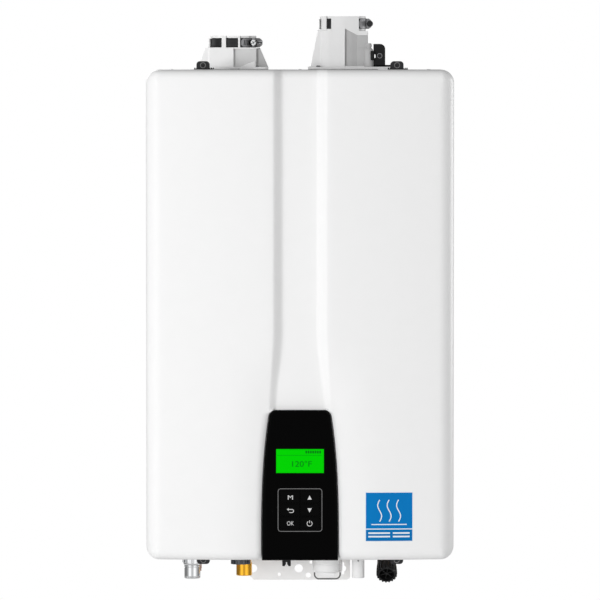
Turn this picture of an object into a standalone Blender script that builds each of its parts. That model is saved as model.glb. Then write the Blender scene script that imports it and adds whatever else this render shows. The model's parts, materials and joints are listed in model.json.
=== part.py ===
# A wall-hung tankless water heater, built from separate pieces.
# X runs to the viewer's right, Y runs back to the wall and Z runs up, all in metres.
# The origin lies on the wall, in the middle of the upper bracket's back.
import math

import bmesh
import bpy
from mathutils import Matrix, Vector

# Whole cabinet
cabinet_width = 0.440
cabinet_height = 0.700
cabinet_depth = 0.336
cabinet_top = 0.070
cabinet_corner = 0.019
wall_gap = 0.010
sheet = 0.0015
touch_gap = 0.0003
overrun = 0.004
corner_steps = 5
corner_rows = 6
round_steps = 20
fine_angle = math.radians(35)

# Rear case, which the front cover laps over
cover_reach = 0.100
cover_lap = 0.008
lap_gap = 0.0007
case_flange = 0.012
gasket_thickness = 0.002
gasket_width = 0.008

# Front cover
cover_bow = 0.014
side_round = 0.019
end_round = 0.009
channel_half = 0.040
channel_floor_half = 0.0228
channel_depth = 0.012
channel_flare_height = 0.115
channel_flare_half = 0.046
channel_flare_floor_half = 0.0325
pocket_wall = 0.0035
pocket_gap = 0.0014
cable_hole_radius = 0.008

# Control panel in the foot of the channel
panel_height = 0.2149
panel_lift = 0.0004
panel_half_bottom = 0.0543
panel_narrowing = 0.012
panel_corner = 0.010
panel_sink = 0.001
panel_wall = 0.0025
panel_edge_round = 0.004
window_width = 0.068
window_height = 0.034
window_middle_height = 0.1427
window_thickness = 0.002
module_margin = 0.0015
keypad_width = 0.0636
keypad_height = 0.0619
keypad_middle_height = 0.0727
keypad_rim = 0.0032
key_pitch_x = 0.0286
key_pitch_z = 0.0185
key_bar = 0.0014
key_gap = 0.0003
key_travel = 0.0008
key_edge = 0.0006
board_thickness = 0.0016
board_margin = 0.0015

# Wall brackets
upper_bracket_width = 0.300
upper_bracket_height = 0.050
bracket_sheet = 0.002
bracket_lip = 0.014
bracket_slot_radius = 0.004
bracket_slot_spacing = 0.100
lower_bracket_width = 0.149
lower_bracket_drop = 0.059
lower_bracket_rise = 0.006
lower_bracket_lap = 0.026
lower_bracket_corner = 0.006
lower_hole_radius = 0.0062
# Each round hole's place and size, as shares of the bracket's width, its drop and the wide hole
middle_hole_shares = (-0.013, 0.713, 1)
left_hole_shares = (-0.469, 0.713, 1)
lower_left_hole_shares = (-0.207, 0.863, 0.39)
lower_right_hole_shares = (0.082, 0.883, 0.61)
upper_right_hole_shares = (0.111, 0.553, 0.4)
keyhole_shares = (0.429, 0.713, 0.76)
keyhole_slot_half = 0.0018
keyhole_reach = 0.0095

# Air intake and exhaust collars on the top
collar_distance = 0.090
intake_x_share = -0.4427
exhaust_x_share = 0.2850
collar_tube_radius = 0.0336
collar_bore_radius = 0.0305
collar_throat_radius = 0.0275
collar_ledge = 0.004
collar_base_half = 0.0510
collar_base_thickness = 0.0035
collar_corner = 0.007
collar_body_half = 0.0373
intake_body_height = 0.0315
intake_height = 0.0485
intake_band_height = 0.0135
intake_recess_rise = 0.012
intake_recess_share = 0.9
intake_tab_shares = (-0.365, 0.233)
exhaust_body_left = 0.0321
exhaust_body_right = 0.0365
exhaust_body_height = 0.0555
exhaust_height = 0.0770
exhaust_band_height = 0.0152
exhaust_column_half = 0.0206
exhaust_column_depth = 0.0030
exhaust_recess_left = 0.0035
exhaust_foot_reach = 0.0191
recess_depth = 0.004
gusset_thickness = 0.004
gusset_foot = 0.0135
gusset_tip = 0.0045
gusset_share = 0.985
tab_width = 0.0044
tab_thickness = 0.0016
collar_gasket_thickness = 0.0015
band_thickness = 0.0012
band_drop = 0.0032
worm_length = 0.020
worm_height = 0.0130
worm_depth = 0.0085
worm_edge = 0.0028
worm_hole_radius = 0.0034
worm_screw_radius = 0.0030
worm_head_radius = 0.0046
worm_head_length = 0.006
intake_worm_angle = math.radians(65)
exhaust_worm_angle = math.radians(88)
port_radius = 0.0066
port_height = 0.034
port_shares = ((1, 0), (1, 0.74), (0.9, 0.78), (0.66, 0.79), (0.66, 0.96), (0.55, 1))
port_x_offset = 0.0373
port_forward = 0.0442
port_bracket_width = 0.0172
port_bracket_height = 0.033
port_bracket_thickness = 0.0025
port_bracket_foot = 0.0085
port_bracket_hole = 0.0022

# Latches that hold the cover to the case
latch_x_share = 0.6332
latch_width = 0.0187
latch_height = 0.012
latch_plate = 0.004
latch_corner = 0.0048
latch_forward = 0.020
latch_barrel_radius = 0.0033
latch_barrel_height = 0.0062
latch_arm = 0.003
latch_ear = 0.0032
latch_ear_rise = 0.0012
latch_base_length = 0.020
latch_base_thickness = 0.0018
latch_pin_radius = 0.0016
latch_gap = 0.0003

# Fittings under the case
fitting_inside = 0.030
fitting_flange_thickness = 0.0025
fitting_hole_gap = 0.0008
hot_x_share = -0.7175
hot_distance = 0.110
hot_collar_radius = 0.0133
hot_nipple_radius = 0.0117
hot_collar_drop = 0.0264
hot_drop = 0.0462
hot_flange_radius = 0.018
recirculation_x_share = -0.7114
recirculation_distance = 0.055
recirculation_radius = 0.0117
recirculation_drop = 0.0406
recirculation_flange_radius = 0.016
gas_x_share = -0.3741
gas_distance = 0.070
gas_hex_radius = 0.0124
gas_drop = 0.0457
gas_hex_rise = 0.012
gas_flange_radius = 0.018
gas_hex_share = 1.6
drain_x_share = -0.3936
drain_distance = 0.145
drain_radius = 0.0144
drain_drop = 0.0219
drain_tooth = 0.0010
drain_teeth = 20
tooth_share = 0.5
drain_stem_radius = 0.0055
inlet_x_share = 0.5764
inlet_distance = 0.075
inlet_radius = 0.0115
inlet_drop = 0.038
inlet_rise = 0.045
inlet_flange_margin = 0.007
inlet_branch_radius = 0.0088
filter_tilt = math.radians(56)
filter_forward = 0.0362
filter_slot_margin = 0.003
filter_start_drop = 0.0170
filter_length = 0.038
filter_neck_radius = 0.0135
filter_rim_radius = 0.0152
filter_ribs = 18
filter_rib_depth = 0.0009
filter_bore_radius = 0.0092
filter_socket_depth = 0.0045
filter_neck_share = 0.3
filter_hollow_share = 0.69
filter_hollow_depth = 0.010
outlet_x_share = 0.3859
outlet_distance = 0.150
outlet_radius = 0.0091
outlet_drop = 0.0417
outlet_rise = 0.060
elbow_share = 0.85
outlet_flange_radius = 0.0135
trap_x_share = 0.1814
trap_body_radius = 0.0168
trap_cap_radius = 0.0198
trap_cap_top_drop = 0.0100
trap_cap_drop = 0.0334
trap_cap_chamfer = 0.0025
trap_cap_floor = 0.0035
trap_grip_half = 0.0117
trap_grip_depth = 0.004
trap_grip_drop = 0.0407
trap_grip_edge = 0.001
trap_body_share = 0.558
trap_neck_radius = 0.008
trap_flange_radius = 0.0235
bail_axis_drop = 0.0078
bail_wire_radius = 0.0010
bail_gap = 0.0014
bail_half = 0.0222
bail_bend = 0.004
bail_seat_depth = 0.003
clip_x_share = -0.0886
clip_setback = 0.034
clip_width = 0.0125
clip_length = 0.014
clip_drop = 0.0187
clip_notch_radius = 0.0030
clip_base_thickness = 0.002
clip_base_margin = 0.0035

# Parts inside the case
exchanger_left_share = -0.1364
exchanger_right_share = 0.6818
front_clearance = 0.022
duct_clearance = 0.0045
secondary_height = 0.150
primary_height = 0.165
burner_height = 0.085
burner_drop = 0.085
burner_margin = 0.008
exchanger_rib = 0.003
exchanger_ribs = 5
box_edge = 0.003
pipe_radius = 0.0079
bend_share = 0.48
entry_share = 0.207
pipe_sides = 3
duct_radius = 0.031
duct_wall = 0.002
duct_foot_half = 0.040
duct_foot_rise = 0.010
duct_foot_height = 0.075
intake_duct_radius = 0.030
fan_drop = 0.140
fan_radius = 0.052
fan_depth_share = 0.517
fan_wall = 0.002
fan_inlet_radius = 0.024
fan_shaft_hole_radius = 0.006
fan_start_gap = 0.0353
impeller_radius = 0.044
impeller_root_radius = 0.034
impeller_blades = 12
impeller_blade_share = 0.35
impeller_start_share = 0.12
impeller_depth_share = 0.68
shaft_radius = 0.004
motor_radius = 0.032
motor_depth_share = 0.414
motor_socket_share = 0.45
motor_flange = 0.004
motor_boss_radius = 0.020
fan_outlet_height = 0.030
fan_outlet_inset = 0.008
valve_width = 0.064
valve_depth = 0.070
valve_height = 0.080
valve_bottom = 0.160
valve_coil_radius = 0.014
valve_coil_length = 0.030
control_left_gap = 0.0003
control_right_share = -0.2045
control_height = 0.220
control_drop = 0.230
control_depth_share = 0.435
control_edge = 0.004
pump_width = 0.064
pump_depth = 0.070
pump_height = 0.070
pump_motor_radius = 0.025
pump_motor_length = 0.035
sensor_radius = 0.016
sensor_height = 0.048
sensor_shares = ((0.75, 0), (1, 0.2), (1, 0.8), (0.75, 1))
cold_pipe_rise = 0.035
hot_pipe_rise = 0.055
gas_pipe_radius = 0.0095

# Places that follow from the sizes above
half_width = cabinet_width / 2
cabinet_bottom = cabinet_top - cabinet_height
cover_front = -cabinet_depth
cover_rim = cover_front + cover_reach
case_inset = sheet + lap_gap
case_half = half_width - case_inset
case_top = cabinet_top - case_inset
case_bottom = cabinet_bottom + case_inset
case_back = -wall_gap
case_front = cover_rim - cover_lap
case_corner = cabinet_corner - case_inset
case_floor = case_bottom + sheet
case_ceiling = case_top - sheet
collar_y = -collar_distance
panel_front = cover_front + panel_sink
panel_back = cover_front + channel_depth - touch_gap
panel_bottom = cabinet_bottom + panel_lift
panel_top = panel_bottom + panel_height
window_middle = cabinet_bottom + window_middle_height
keypad_middle = cabinet_bottom + keypad_middle_height
intake_x = half_width * intake_x_share
exhaust_x = half_width * exhaust_x_share
latch_x = half_width * latch_x_share
hot_x = half_width * hot_x_share
recirculation_x = half_width * recirculation_x_share
gas_x = half_width * gas_x_share
drain_x = half_width * drain_x_share
inlet_x = half_width * inlet_x_share
outlet_x = half_width * outlet_x_share
trap_x = half_width * trap_x_share
clip_x = half_width * clip_x_share
clip_distance = -case_front - clip_setback
exchanger_left = half_width * exchanger_left_share
exchanger_right = half_width * exchanger_right_share
exchanger_front = -case_front - front_clearance
exchanger_back = collar_distance + duct_radius + duct_clearance
exchanger_depth = exchanger_front - exchanger_back
control_depth = exchanger_depth * control_depth_share
burner_top = cabinet_height - burner_drop
primary_top = burner_top - burner_height
secondary_top = primary_top - primary_height
secondary_bottom = secondary_top - secondary_height
trap_body_rise = secondary_bottom * trap_body_share
duct_foot_bottom = secondary_bottom + duct_foot_rise
duct_foot_top = duct_foot_bottom + duct_foot_height
fan_height = cabinet_height - fan_drop
fan_space = exchanger_front - collar_distance - fan_start_gap
fan_depth = fan_space * fan_depth_share
motor_depth = fan_space * motor_depth_share
impeller_start = fan_depth * impeller_start_share
impeller_depth = fan_depth * impeller_depth_share
motor_socket_depth = motor_depth * motor_socket_share
control_right = half_width * control_right_share
control_top = cabinet_height - control_drop
control_bottom = control_top - control_height
cold_pipe_top = secondary_bottom + cold_pipe_rise
hot_pipe_top = secondary_top + hot_pipe_rise


def remove_everything():
    for item in list(bpy.data.objects):
        bpy.data.objects.remove(item)


def finish_material(name, color, roughness, metallic):
    material = bpy.data.materials.new(name)
    material.use_nodes = True
    shader = material.node_tree.nodes["Principled BSDF"]
    shader.inputs["Base Color"].default_value = (*color, 1)
    shader.inputs["Roughness"].default_value = roughness
    shader.inputs["Metallic"].default_value = metallic
    material.diffuse_color = (*color, 1)
    return material


def object_from(name, shape, finish, place=(0, 0, 0), smooth=True):
    bmesh.ops.remove_doubles(shape, verts=shape.verts, dist=touch_gap / 100)
    bmesh.ops.recalc_face_normals(shape, faces=shape.faces)
    mesh = bpy.data.meshes.new(name)
    shape.to_mesh(mesh)
    shape.free()
    if smooth:
        mesh.shade_smooth()
        mesh.set_sharp_from_angle(angle=fine_angle)
    item = bpy.data.objects.new(name, mesh)
    bpy.context.collection.objects.link(item)
    item.location = place
    if finish:
        item.data.materials.append(finish_material(name, *finish))
    return item


def hide_cutter(item):
    item.hide_render = True
    item.display_type = "WIRE"


def combine(item, other, operation):
    modifier = item.modifiers.new(other.name, "BOOLEAN")
    modifier.operation = operation
    modifier.solver = "EXACT"
    modifier.object = other
    hide_cutter(other)


def cut(item, *cutters):
    for cutter in cutters:
        combine(item, cutter, "DIFFERENCE")


def join(item, *others):
    for other in others:
        combine(item, other, "UNION")


# Joins rings of equal length into one closed body, with a cap at each end.
def loft(rings, closed=False):
    shape = bmesh.new()
    loops = [[shape.verts.new(point) for point in ring] for ring in rings]
    pairs = list(zip(loops, loops[1:]))
    if closed:
        pairs.append((loops[-1], loops[0]))
    for first, second in pairs:
        count = len(first)
        for index in range(count):
            following = (index + 1) % count
            shape.faces.new((first[index], first[following], second[following], second[index]))
    if not closed:
        shape.faces.new(loops[0])
        shape.faces.new(loops[-1])
    return shape


def box_shape(low, high, edge=0.0):
    shape = bmesh.new()
    bmesh.ops.create_cube(shape, size=1)
    size = Vector(high) - Vector(low)
    middle = (Vector(high) + Vector(low)) / 2
    bmesh.ops.scale(shape, vec=size, verts=shape.verts)
    bmesh.ops.translate(shape, vec=middle, verts=shape.verts)
    if edge:
        bmesh.ops.bevel(shape, geom=shape.edges, offset=edge, segments=2, profile=0.5, affect="EDGES")
    return shape


def turn_matrix(direction):
    return Vector((0, 0, 1)).rotation_difference(Vector(direction)).to_matrix()


# Spins a profile of (radius, height) points about an axis through the place given.
def turned_shape(profile, place=(0, 0, 0), direction=(0, 0, 1), steps=round_steps, closed=False):
    turn = turn_matrix(direction)
    rings = []
    for radius, height in profile:
        ring = []
        for step in range(steps):
            angle = math.tau * step / steps
            point = Vector((radius * math.cos(angle), radius * math.sin(angle), height))
            ring.append(Vector(place) + turn @ point)
        rings.append(ring)
    return loft(rings, closed)


def cylinder_shape(radius, start, end, steps=round_steps):
    along = Vector(end) - Vector(start)
    return turned_shape(((radius, 0), (radius, along.length)), start, along, steps)


# An outline of (x, z) points with rounded corners, anticlockwise from the lower right.
def rounded_outline(left, right, bottom, top, radius, steps=corner_steps):
    corners = (
        (right - radius, bottom + radius, -math.pi / 2),
        (right - radius, top - radius, 0),
        (left + radius, top - radius, math.pi / 2),
        (left + radius, bottom + radius, math.pi),
    )
    outline = []
    for x, z, start in corners:
        for step in range(steps + 1):
            angle = start + math.pi / 2 * step / steps
            outline.append((x + radius * math.cos(angle), z + radius * math.sin(angle)))
    return outline


def ring_at(outline, y):
    return [Vector((x, y, z)) for x, z in outline]


def flat_ring(outline, z):
    return [Vector((x, y, z)) for x, y in outline]


def prism_shape(outline, front, back):
    return loft((ring_at(outline, front), ring_at(outline, back)))


def case_outline(inset):
    return rounded_outline(
        inset - case_half, case_half - inset, case_bottom + inset, case_top - inset, case_corner - inset / 2
    )


def toothed_outline(radius, root, teeth, tooth_share):
    outline = []
    for tooth in range(teeth):
        start = math.tau * tooth / teeth
        width = math.tau / teeth
        for distance, share in ((root, 0), (radius, 0), (radius, tooth_share), (root, tooth_share)):
            angle = start + width * share
            outline.append((distance * math.cos(angle), distance * math.sin(angle)))
    return outline


# Finishes as (colour, roughness, metallic)
white_paint = ((0.86, 0.86, 0.85), 0.35, 0.0)
light_grey_paint = ((0.74, 0.75, 0.75), 0.45, 0.0)
gloss_black = ((0.008, 0.008, 0.009), 0.12, 0.0)
black_plastic = ((0.012, 0.012, 0.013), 0.45, 0.0)
clear_green = ((0.03, 0.55, 0.06), 0.1, 0.0)
black_rubber = ((0.02, 0.02, 0.02), 0.8, 0.0)
zinc = ((0.62, 0.63, 0.64), 0.3, 1.0)
chrome = ((0.70, 0.71, 0.73), 0.15, 1.0)
brass = ((0.72, 0.50, 0.18), 0.3, 1.0)
copper = ((0.72, 0.40, 0.26), 0.35, 1.0)
white_plastic = ((0.82, 0.82, 0.80), 0.4, 0.0)
grey_plastic = ((0.50, 0.51, 0.52), 0.4, 0.0)
stainless = ((0.60, 0.60, 0.61), 0.35, 1.0)
cast_metal = ((0.55, 0.56, 0.57), 0.5, 1.0)
board_green = ((0.02, 0.20, 0.08), 0.5, 0.0)


def fitting_hole(name, x, y, radius):
    bottom = case_bottom - overrun
    top = case_floor + overrun
    return object_from(name, cylinder_shape(radius, (x, y, bottom), (x, y, top)), None)


def make_rear_case():
    rings = (
        ring_at(case_outline(0), case_back),
        ring_at(case_outline(0), case_front),
        ring_at(case_outline(case_flange), case_front),
        ring_at(case_outline(case_flange), case_front + sheet),
        ring_at(case_outline(sheet), case_front + sheet),
        ring_at(case_outline(sheet), case_back - sheet),
    )
    case = object_from("rear_case", loft(rings), white_paint)
    for name, x in (("intake_hole", intake_x), ("exhaust_hole", exhaust_x)):
        low = (x, collar_y, case_ceiling - overrun)
        high = (x, collar_y, case_top + overrun)
        cut(case, object_from(name, cylinder_shape(duct_radius + fitting_hole_gap, low, high), None))
    holes = (
        ("hot_hole", hot_x, hot_distance, hot_nipple_radius),
        ("recirculation_hole", recirculation_x, recirculation_distance, recirculation_radius),
        ("gas_hole", gas_x, gas_distance, gas_pipe_radius),
        ("drain_hole", drain_x, drain_distance, drain_stem_radius),
        ("outlet_hole", outlet_x, outlet_distance, outlet_radius),
        ("trap_hole", trap_x, outlet_distance, trap_body_radius),
    )
    for name, x, distance, radius in holes:
        cut(case, fitting_hole(name, x, -distance, radius + fitting_hole_gap))
    low, high = inlet_slot(fitting_hole_gap)
    low.z = case_bottom - overrun
    high.z = case_floor + overrun
    cut(case, object_from("inlet_slot", box_shape(low, high), None))


# The slot through the case's floor that takes the inlet and its slanted filter branch.
def inlet_slot(margin):
    half = inlet_radius + margin
    front = -inlet_distance - filter_forward - filter_slot_margin - margin
    return Vector((inlet_x - half, front, 0)), Vector((inlet_x + half, half - inlet_distance, 0))


def make_cover_gasket():
    margin = touch_gap
    outer = case_outline(margin)
    inner = case_outline(margin + gasket_width)
    back = case_front - touch_gap
    front = back - gasket_thickness
    rings = (ring_at(outer, back), ring_at(outer, front), ring_at(inner, front), ring_at(inner, back))
    object_from("cover_gasket", loft(rings, closed=True), black_rubber)


def panel_half_at(z):
    share = min(max((z - panel_bottom) / panel_height, 0), 1)
    return panel_half_bottom - panel_narrowing * share ** 3


# Half the panel's width at a height, with its rounded upper corners.
def panel_edge_at(z):
    half = panel_half_at(z)
    start = panel_top - panel_corner
    if z > start:
        rise = min(z - start, panel_corner)
        half -= panel_corner - math.sqrt(panel_corner ** 2 - rise ** 2)
    return half


def smooth_step(value):
    value = min(max(value, 0), 1)
    return value * value * (3 - 2 * value)


# The channel's floor half width and edge half width at a height.
def channel_at(z):
    if z <= panel_top:
        edge = panel_half_at(z) + pocket_wall
        floor = panel_edge_at(z - pocket_gap) + pocket_gap
        return floor, max(edge, floor + pocket_wall)
    rise = (z - panel_top) / channel_flare_height
    flare = 1 - smooth_step(rise)
    floor = channel_floor_half + (channel_flare_floor_half - channel_floor_half) * flare
    edge = channel_half + (channel_flare_half - channel_half) * flare
    return floor, edge


# How far a point of the front lies inside the cover's rounded outline, and from each side.
def edge_drop(x, z):
    middle = (cabinet_top + cabinet_bottom) / 2
    across = half_width - abs(x)
    up = cabinet_height / 2 - abs(z - middle)
    if across < cabinet_corner and up < cabinet_corner:
        reach = math.hypot(cabinet_corner - across, cabinet_corner - up)
        inside = max(cabinet_corner - reach, 0)
        weight = (cabinet_corner - across) / max(reach, touch_gap)
        width = end_round + (side_round - end_round) * weight ** 2
        return round_drop(inside, width)
    return max(round_drop(across, side_round), round_drop(up, end_round))


def round_drop(inside, radius):
    share = 1 - min(max(inside / radius, 0), 1)
    return radius * (1 - math.sqrt(1 - share ** 2))


def cover_y(x, z):
    floor, edge = channel_at(z)
    dip = smooth_step((edge - abs(x)) / (edge - floor))
    bow = cover_bow * (x / half_width) ** 2
    return cover_front + bow + channel_depth * dip + edge_drop(x, z)


def cover_rows():
    turns = [math.pi / 2 * step / corner_rows for step in range(corner_rows + 1)]
    rises = [cabinet_corner * (1 - math.cos(turn)) for turn in turns]
    rows = [cabinet_bottom + rise for rise in rises]
    wide_shares = (0.3, 0.55, 0.75, 0.88)
    rows += [panel_bottom + panel_height * share for share in wide_shares]
    corner_shares = (0, 0.4, 0.65, 0.83, 0.95)
    rows += [panel_top - panel_corner * (1 - share) for share in corner_shares]
    rows.append(panel_top + touch_gap)
    flare_shares = (0.25, 0.5, 0.75, 1)
    rows += [panel_top + channel_flare_height * share for share in flare_shares]
    rows.append((panel_top + channel_flare_height + cabinet_top) / 2)
    rows += [cabinet_top - rise for rise in reversed(rises)]
    return rows


def corner_inset(z):
    up = min(z - cabinet_bottom, cabinet_top - z)
    if up >= cabinet_corner:
        return 0
    return cabinet_corner - math.sqrt(cabinet_corner ** 2 - (cabinet_corner - up) ** 2)


def cover_columns(z):
    floor, edge = channel_at(z)
    limit = half_width - corner_inset(z)
    last = limit - side_round
    columns = [0, floor, floor + (edge - floor) / 3, floor + (edge - floor) * 2 / 3, edge]
    lobe_shares = (0.33, 0.67, 1)
    columns += [edge + (last - edge) * share for share in lobe_shares]
    round_shares = (0.35, 0.65, 0.88, 1)
    columns += [last + side_round * share for share in round_shares]
    return [-x for x in reversed(columns[1:])] + columns


def make_front_cover():
    shape = bmesh.new()
    grid = []
    for z in cover_rows():
        grid.append([shape.verts.new((x, cover_y(x, z), z)) for x in cover_columns(z)])
    for lower, upper in zip(grid, grid[1:]):
        for index in range(len(lower) - 1):
            shape.faces.new((lower[index], lower[index + 1], upper[index + 1], upper[index]))
    border = [edge for edge in shape.edges if edge.is_boundary]
    skirt = bmesh.ops.extrude_edge_only(shape, edges=border)
    for item in skirt["geom"]:
        if isinstance(item, bmesh.types.BMVert):
            item.co.y = cover_rim
    cover = object_from("front_cover", shape, white_paint)
    if cover.data.polygons[len(cover.data.polygons) // 2].normal.y > 0:
        cover.data.flip_normals()
    wall = cover.modifiers.new("wall", "SOLIDIFY")
    wall.thickness = sheet
    wall.offset = -1
    wall.use_even_offset = True
    hole_z = keypad_middle
    hole_start = (0, panel_back - overrun, hole_z)
    hole_end = (0, panel_back + sheet + overrun, hole_z)
    cable_hole = cylinder_shape(cable_hole_radius, hole_start, hole_end)
    cut(cover, object_from("cable_hole", cable_hole, None))


def panel_outline(inset):
    shares = (0.25, 0.45, 0.62, 0.76, 0.87)
    bottom = panel_bottom + inset
    straight = panel_height - panel_corner
    heights = [bottom] + [panel_bottom + straight * share for share in shares]
    right = [(panel_half_at(z) - inset, z) for z in heights]
    radius = panel_corner - inset
    middle_z = panel_top - panel_corner
    middle_x = panel_half_at(middle_z) - panel_corner
    for step in range(corner_steps + 1):
        angle = math.pi / 2 * step / corner_steps
        right.append((middle_x + radius * math.cos(angle), middle_z + radius * math.sin(angle)))
    return right + [(-x, z) for x, z in reversed(right)]


def make_panel_bezel():
    rings = [ring_at(panel_outline(0), panel_back)]
    steps = 3
    for step in range(steps + 1):
        angle = math.pi / 2 * step / steps
        inset = panel_edge_round * (1 - math.cos(angle))
        y = panel_front + panel_edge_round * (1 - math.sin(angle))
        rings.append(ring_at(panel_outline(inset), y))
    bezel = object_from("panel_bezel", loft(rings), gloss_black)
    low, high = board_corners()
    recess_low = (low[0] - board_margin, panel_front + panel_wall, low[2] - board_margin)
    recess_high = (high[0] + board_margin, panel_back + overrun, high[2] + board_margin)
    recess = object_from("panel_recess", box_shape(recess_low, recess_high), None)
    half = window_width / 2 + touch_gap
    rise = window_height / 2 + touch_gap
    window_low = (-half, panel_front - overrun, window_middle - rise)
    window_high = (half, panel_front + panel_wall + overrun, window_middle + rise)
    window_cut = object_from("window_cut", box_shape(window_low, window_high), None)
    half = keypad_width / 2 + touch_gap
    rise = keypad_height / 2 + touch_gap
    pad_low = (-half, panel_front - overrun, keypad_middle - rise)
    pad_high = (half, panel_front + panel_wall + overrun, keypad_middle + rise)
    cut(bezel, recess, window_cut, object_from("keypad_cut", box_shape(pad_low, pad_high), None))


def board_corners():
    half = window_width / 2 + module_margin
    bottom = keypad_middle - keypad_height / 2 - module_margin
    top = window_middle + window_height / 2 + module_margin
    return (-half, panel_back - board_thickness, bottom), (half, panel_back, top)


def make_panel_inside():
    low, high = board_corners()
    board = object_from("display_board", box_shape(low, high), board_green, smooth=False)
    half = window_width / 2
    rise = window_height / 2
    back = panel_front + touch_gap + window_thickness
    pane_low = (-half, panel_front + touch_gap, window_middle - rise)
    pane_high = (half, back, window_middle + rise)
    object_from("display_window", box_shape(pane_low, pane_high), clear_green, smooth=False)
    module_low = (-half, panel_front + panel_wall + touch_gap, window_middle - rise)
    module_high = (half, low[1] + board_thickness / 2, window_middle + rise)
    join(board, object_from("display_module", box_shape(module_low, module_high), None))


def key_places():
    names = (("menu_key", "up_key"), ("back_key", "down_key"), ("enter_key", "power_key"))
    places = {}
    for row, pair in enumerate(names):
        for column, name in enumerate(pair):
            x = key_pitch_x * (column - 1 / 2)
            z = keypad_middle + key_pitch_z * (1 - row)
            places[name] = (x, z)
    return places


def make_keypad():
    half = keypad_width / 2
    rise = keypad_height / 2
    back = panel_front + panel_wall
    low = (-half, panel_front, keypad_middle - rise)
    high = (half, back, keypad_middle + rise)
    frame = object_from("keypad_frame", box_shape(low, high), grey_plastic, smooth=False)
    key_half = (key_pitch_x - key_bar) / 2
    key_rise = (key_pitch_z - key_bar) / 2
    key_back = panel_back - board_thickness - key_travel - touch_gap
    for name, (x, z) in key_places().items():
        hole_low = (x - key_half, panel_front - overrun, z - key_rise)
        hole_high = (x + key_half, back + overrun, z + key_rise)
        cut(frame, object_from(name + "_hole", box_shape(hole_low, hole_high), None))
        cap_low = (key_gap - key_half, panel_front, key_gap - key_rise)
        cap_high = (key_half - key_gap, key_back, key_rise - key_gap)
        cap = box_shape(cap_low, cap_high)
        front = [edge for edge in cap.edges if all(vert.co.y < key_back for vert in edge.verts)]
        bmesh.ops.bevel(cap, geom=front, offset=key_edge, segments=2, profile=0.5, affect="EDGES")
        object_from(name, cap, gloss_black, (x, 0, z))


def make_upper_bracket():
    top = upper_bracket_height / 2
    front = case_back + touch_gap
    half = upper_bracket_width / 2
    profile = (
        (0, -top),
        (0, top),
        (front, top),
        (front, top - bracket_lip),
        (front + bracket_sheet, top - bracket_lip),
        (front + bracket_sheet, top - bracket_sheet),
        (-bracket_sheet, top - bracket_sheet),
        (-bracket_sheet, -top),
    )
    rings = [[Vector((x, y, z)) for y, z in profile] for x in (-half, half)]
    bracket = object_from("upper_wall_bracket", loft(rings), zinc, smooth=False)
    for index in (-1, 1):
        x = bracket_slot_spacing * index
        start = (x, overrun, -bracket_slot_radius)
        end = (x, -bracket_sheet - overrun, -bracket_slot_radius)
        hole = cylinder_shape(bracket_slot_radius, start, end)
        cut(bracket, object_from("upper_bracket_hole", hole, None))


def make_lower_bracket():
    half = lower_bracket_width / 2
    front = case_back + touch_gap
    low = cabinet_bottom - lower_bracket_drop
    step = cabinet_bottom - lower_bracket_rise
    top = cabinet_bottom + lower_bracket_lap
    profile = (
        (0, low),
        (0, step),
        (front + bracket_sheet, step),
        (front + bracket_sheet, top),
        (front, top),
        (front, step - bracket_sheet),
        (-bracket_sheet, step - bracket_sheet),
        (-bracket_sheet, low),
    )
    rings = [[Vector((x, y, z)) for y, z in profile] for x in (-half, half)]
    bracket = object_from("lower_wall_bracket", loft(rings), light_grey_paint, smooth=False)
    corner = lower_bracket_corner
    wedge = (
        (-half - overrun, low - overrun),
        (-half + corner + overrun, low - overrun),
        (-half - overrun, low + corner + overrun),
    )
    wedge_cut = prism_shape(wedge, -bracket_sheet - overrun, overrun)
    cut(bracket, object_from("bracket_corner_cut", wedge_cut, None))
    outline = [(half + overrun, low - overrun), (half + overrun, low + corner)]
    for step in range(corner_steps + 1):
        angle = math.pi / 2 * step / corner_steps
        outline.append((half - corner * (1 - math.cos(angle)), low + corner * (1 - math.sin(angle))))
    outline.append((half - corner, low - overrun))
    round_cut = prism_shape(outline, -bracket_sheet - overrun, overrun)
    cut(bracket, object_from("bracket_round_cut", round_cut, None))
    holes = (
        middle_hole_shares,
        left_hole_shares,
        lower_left_hole_shares,
        lower_right_hole_shares,
        upper_right_hole_shares,
        keyhole_shares,
    )
    for across, down, size in holes:
        x = lower_bracket_width * across
        z = cabinet_bottom - lower_bracket_drop * down
        radius = lower_hole_radius * size
        hole = cylinder_shape(radius, (x, overrun, z), (x, -bracket_sheet - overrun, z))
        cut(bracket, object_from("bracket_hole", hole, None))
    x = lower_bracket_width * keyhole_shares[0]
    z = cabinet_bottom - lower_bracket_drop * keyhole_shares[1]
    slot_low = (x - keyhole_slot_half, -bracket_sheet - overrun, z - keyhole_reach)
    slot_high = (x + keyhole_slot_half, overrun, z + keyhole_reach)
    cut(bracket, object_from("keyhole_slot", box_shape(slot_low, slot_high), None))


def collar_box(name, left, right, depth_half, bottom, top):
    low = (left, collar_y - depth_half, bottom)
    high = (right, collar_y + depth_half, top)
    return object_from(name, box_shape(low, high), None)


def collar_base_z():
    return case_top + touch_gap + collar_gasket_thickness + touch_gap


def gusset_outline(edge, side, bottom, top):
    foot = edge + side * gusset_foot
    inner = edge - side * gusset_thickness
    return ((inner, bottom), (foot, bottom), (edge + side * gusset_tip, top), (inner, top))


def finish_collar(collar, name, x, height, band_height):
    base = collar_base_z()
    top = cabinet_top + height
    ledge = base + collar_ledge
    bore = cylinder_shape(collar_bore_radius, (x, collar_y, ledge), (x, collar_y, top + overrun))
    low = (x, collar_y, base - overrun)
    throat = cylinder_shape(collar_throat_radius, low, (x, collar_y, ledge + overrun))
    cut(collar, object_from(name + "_bore", bore, None), object_from(name + "_throat", throat, None))
    make_collar_gasket(name, x)
    band_top = top - band_drop
    return band_top - band_height, band_top


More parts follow.
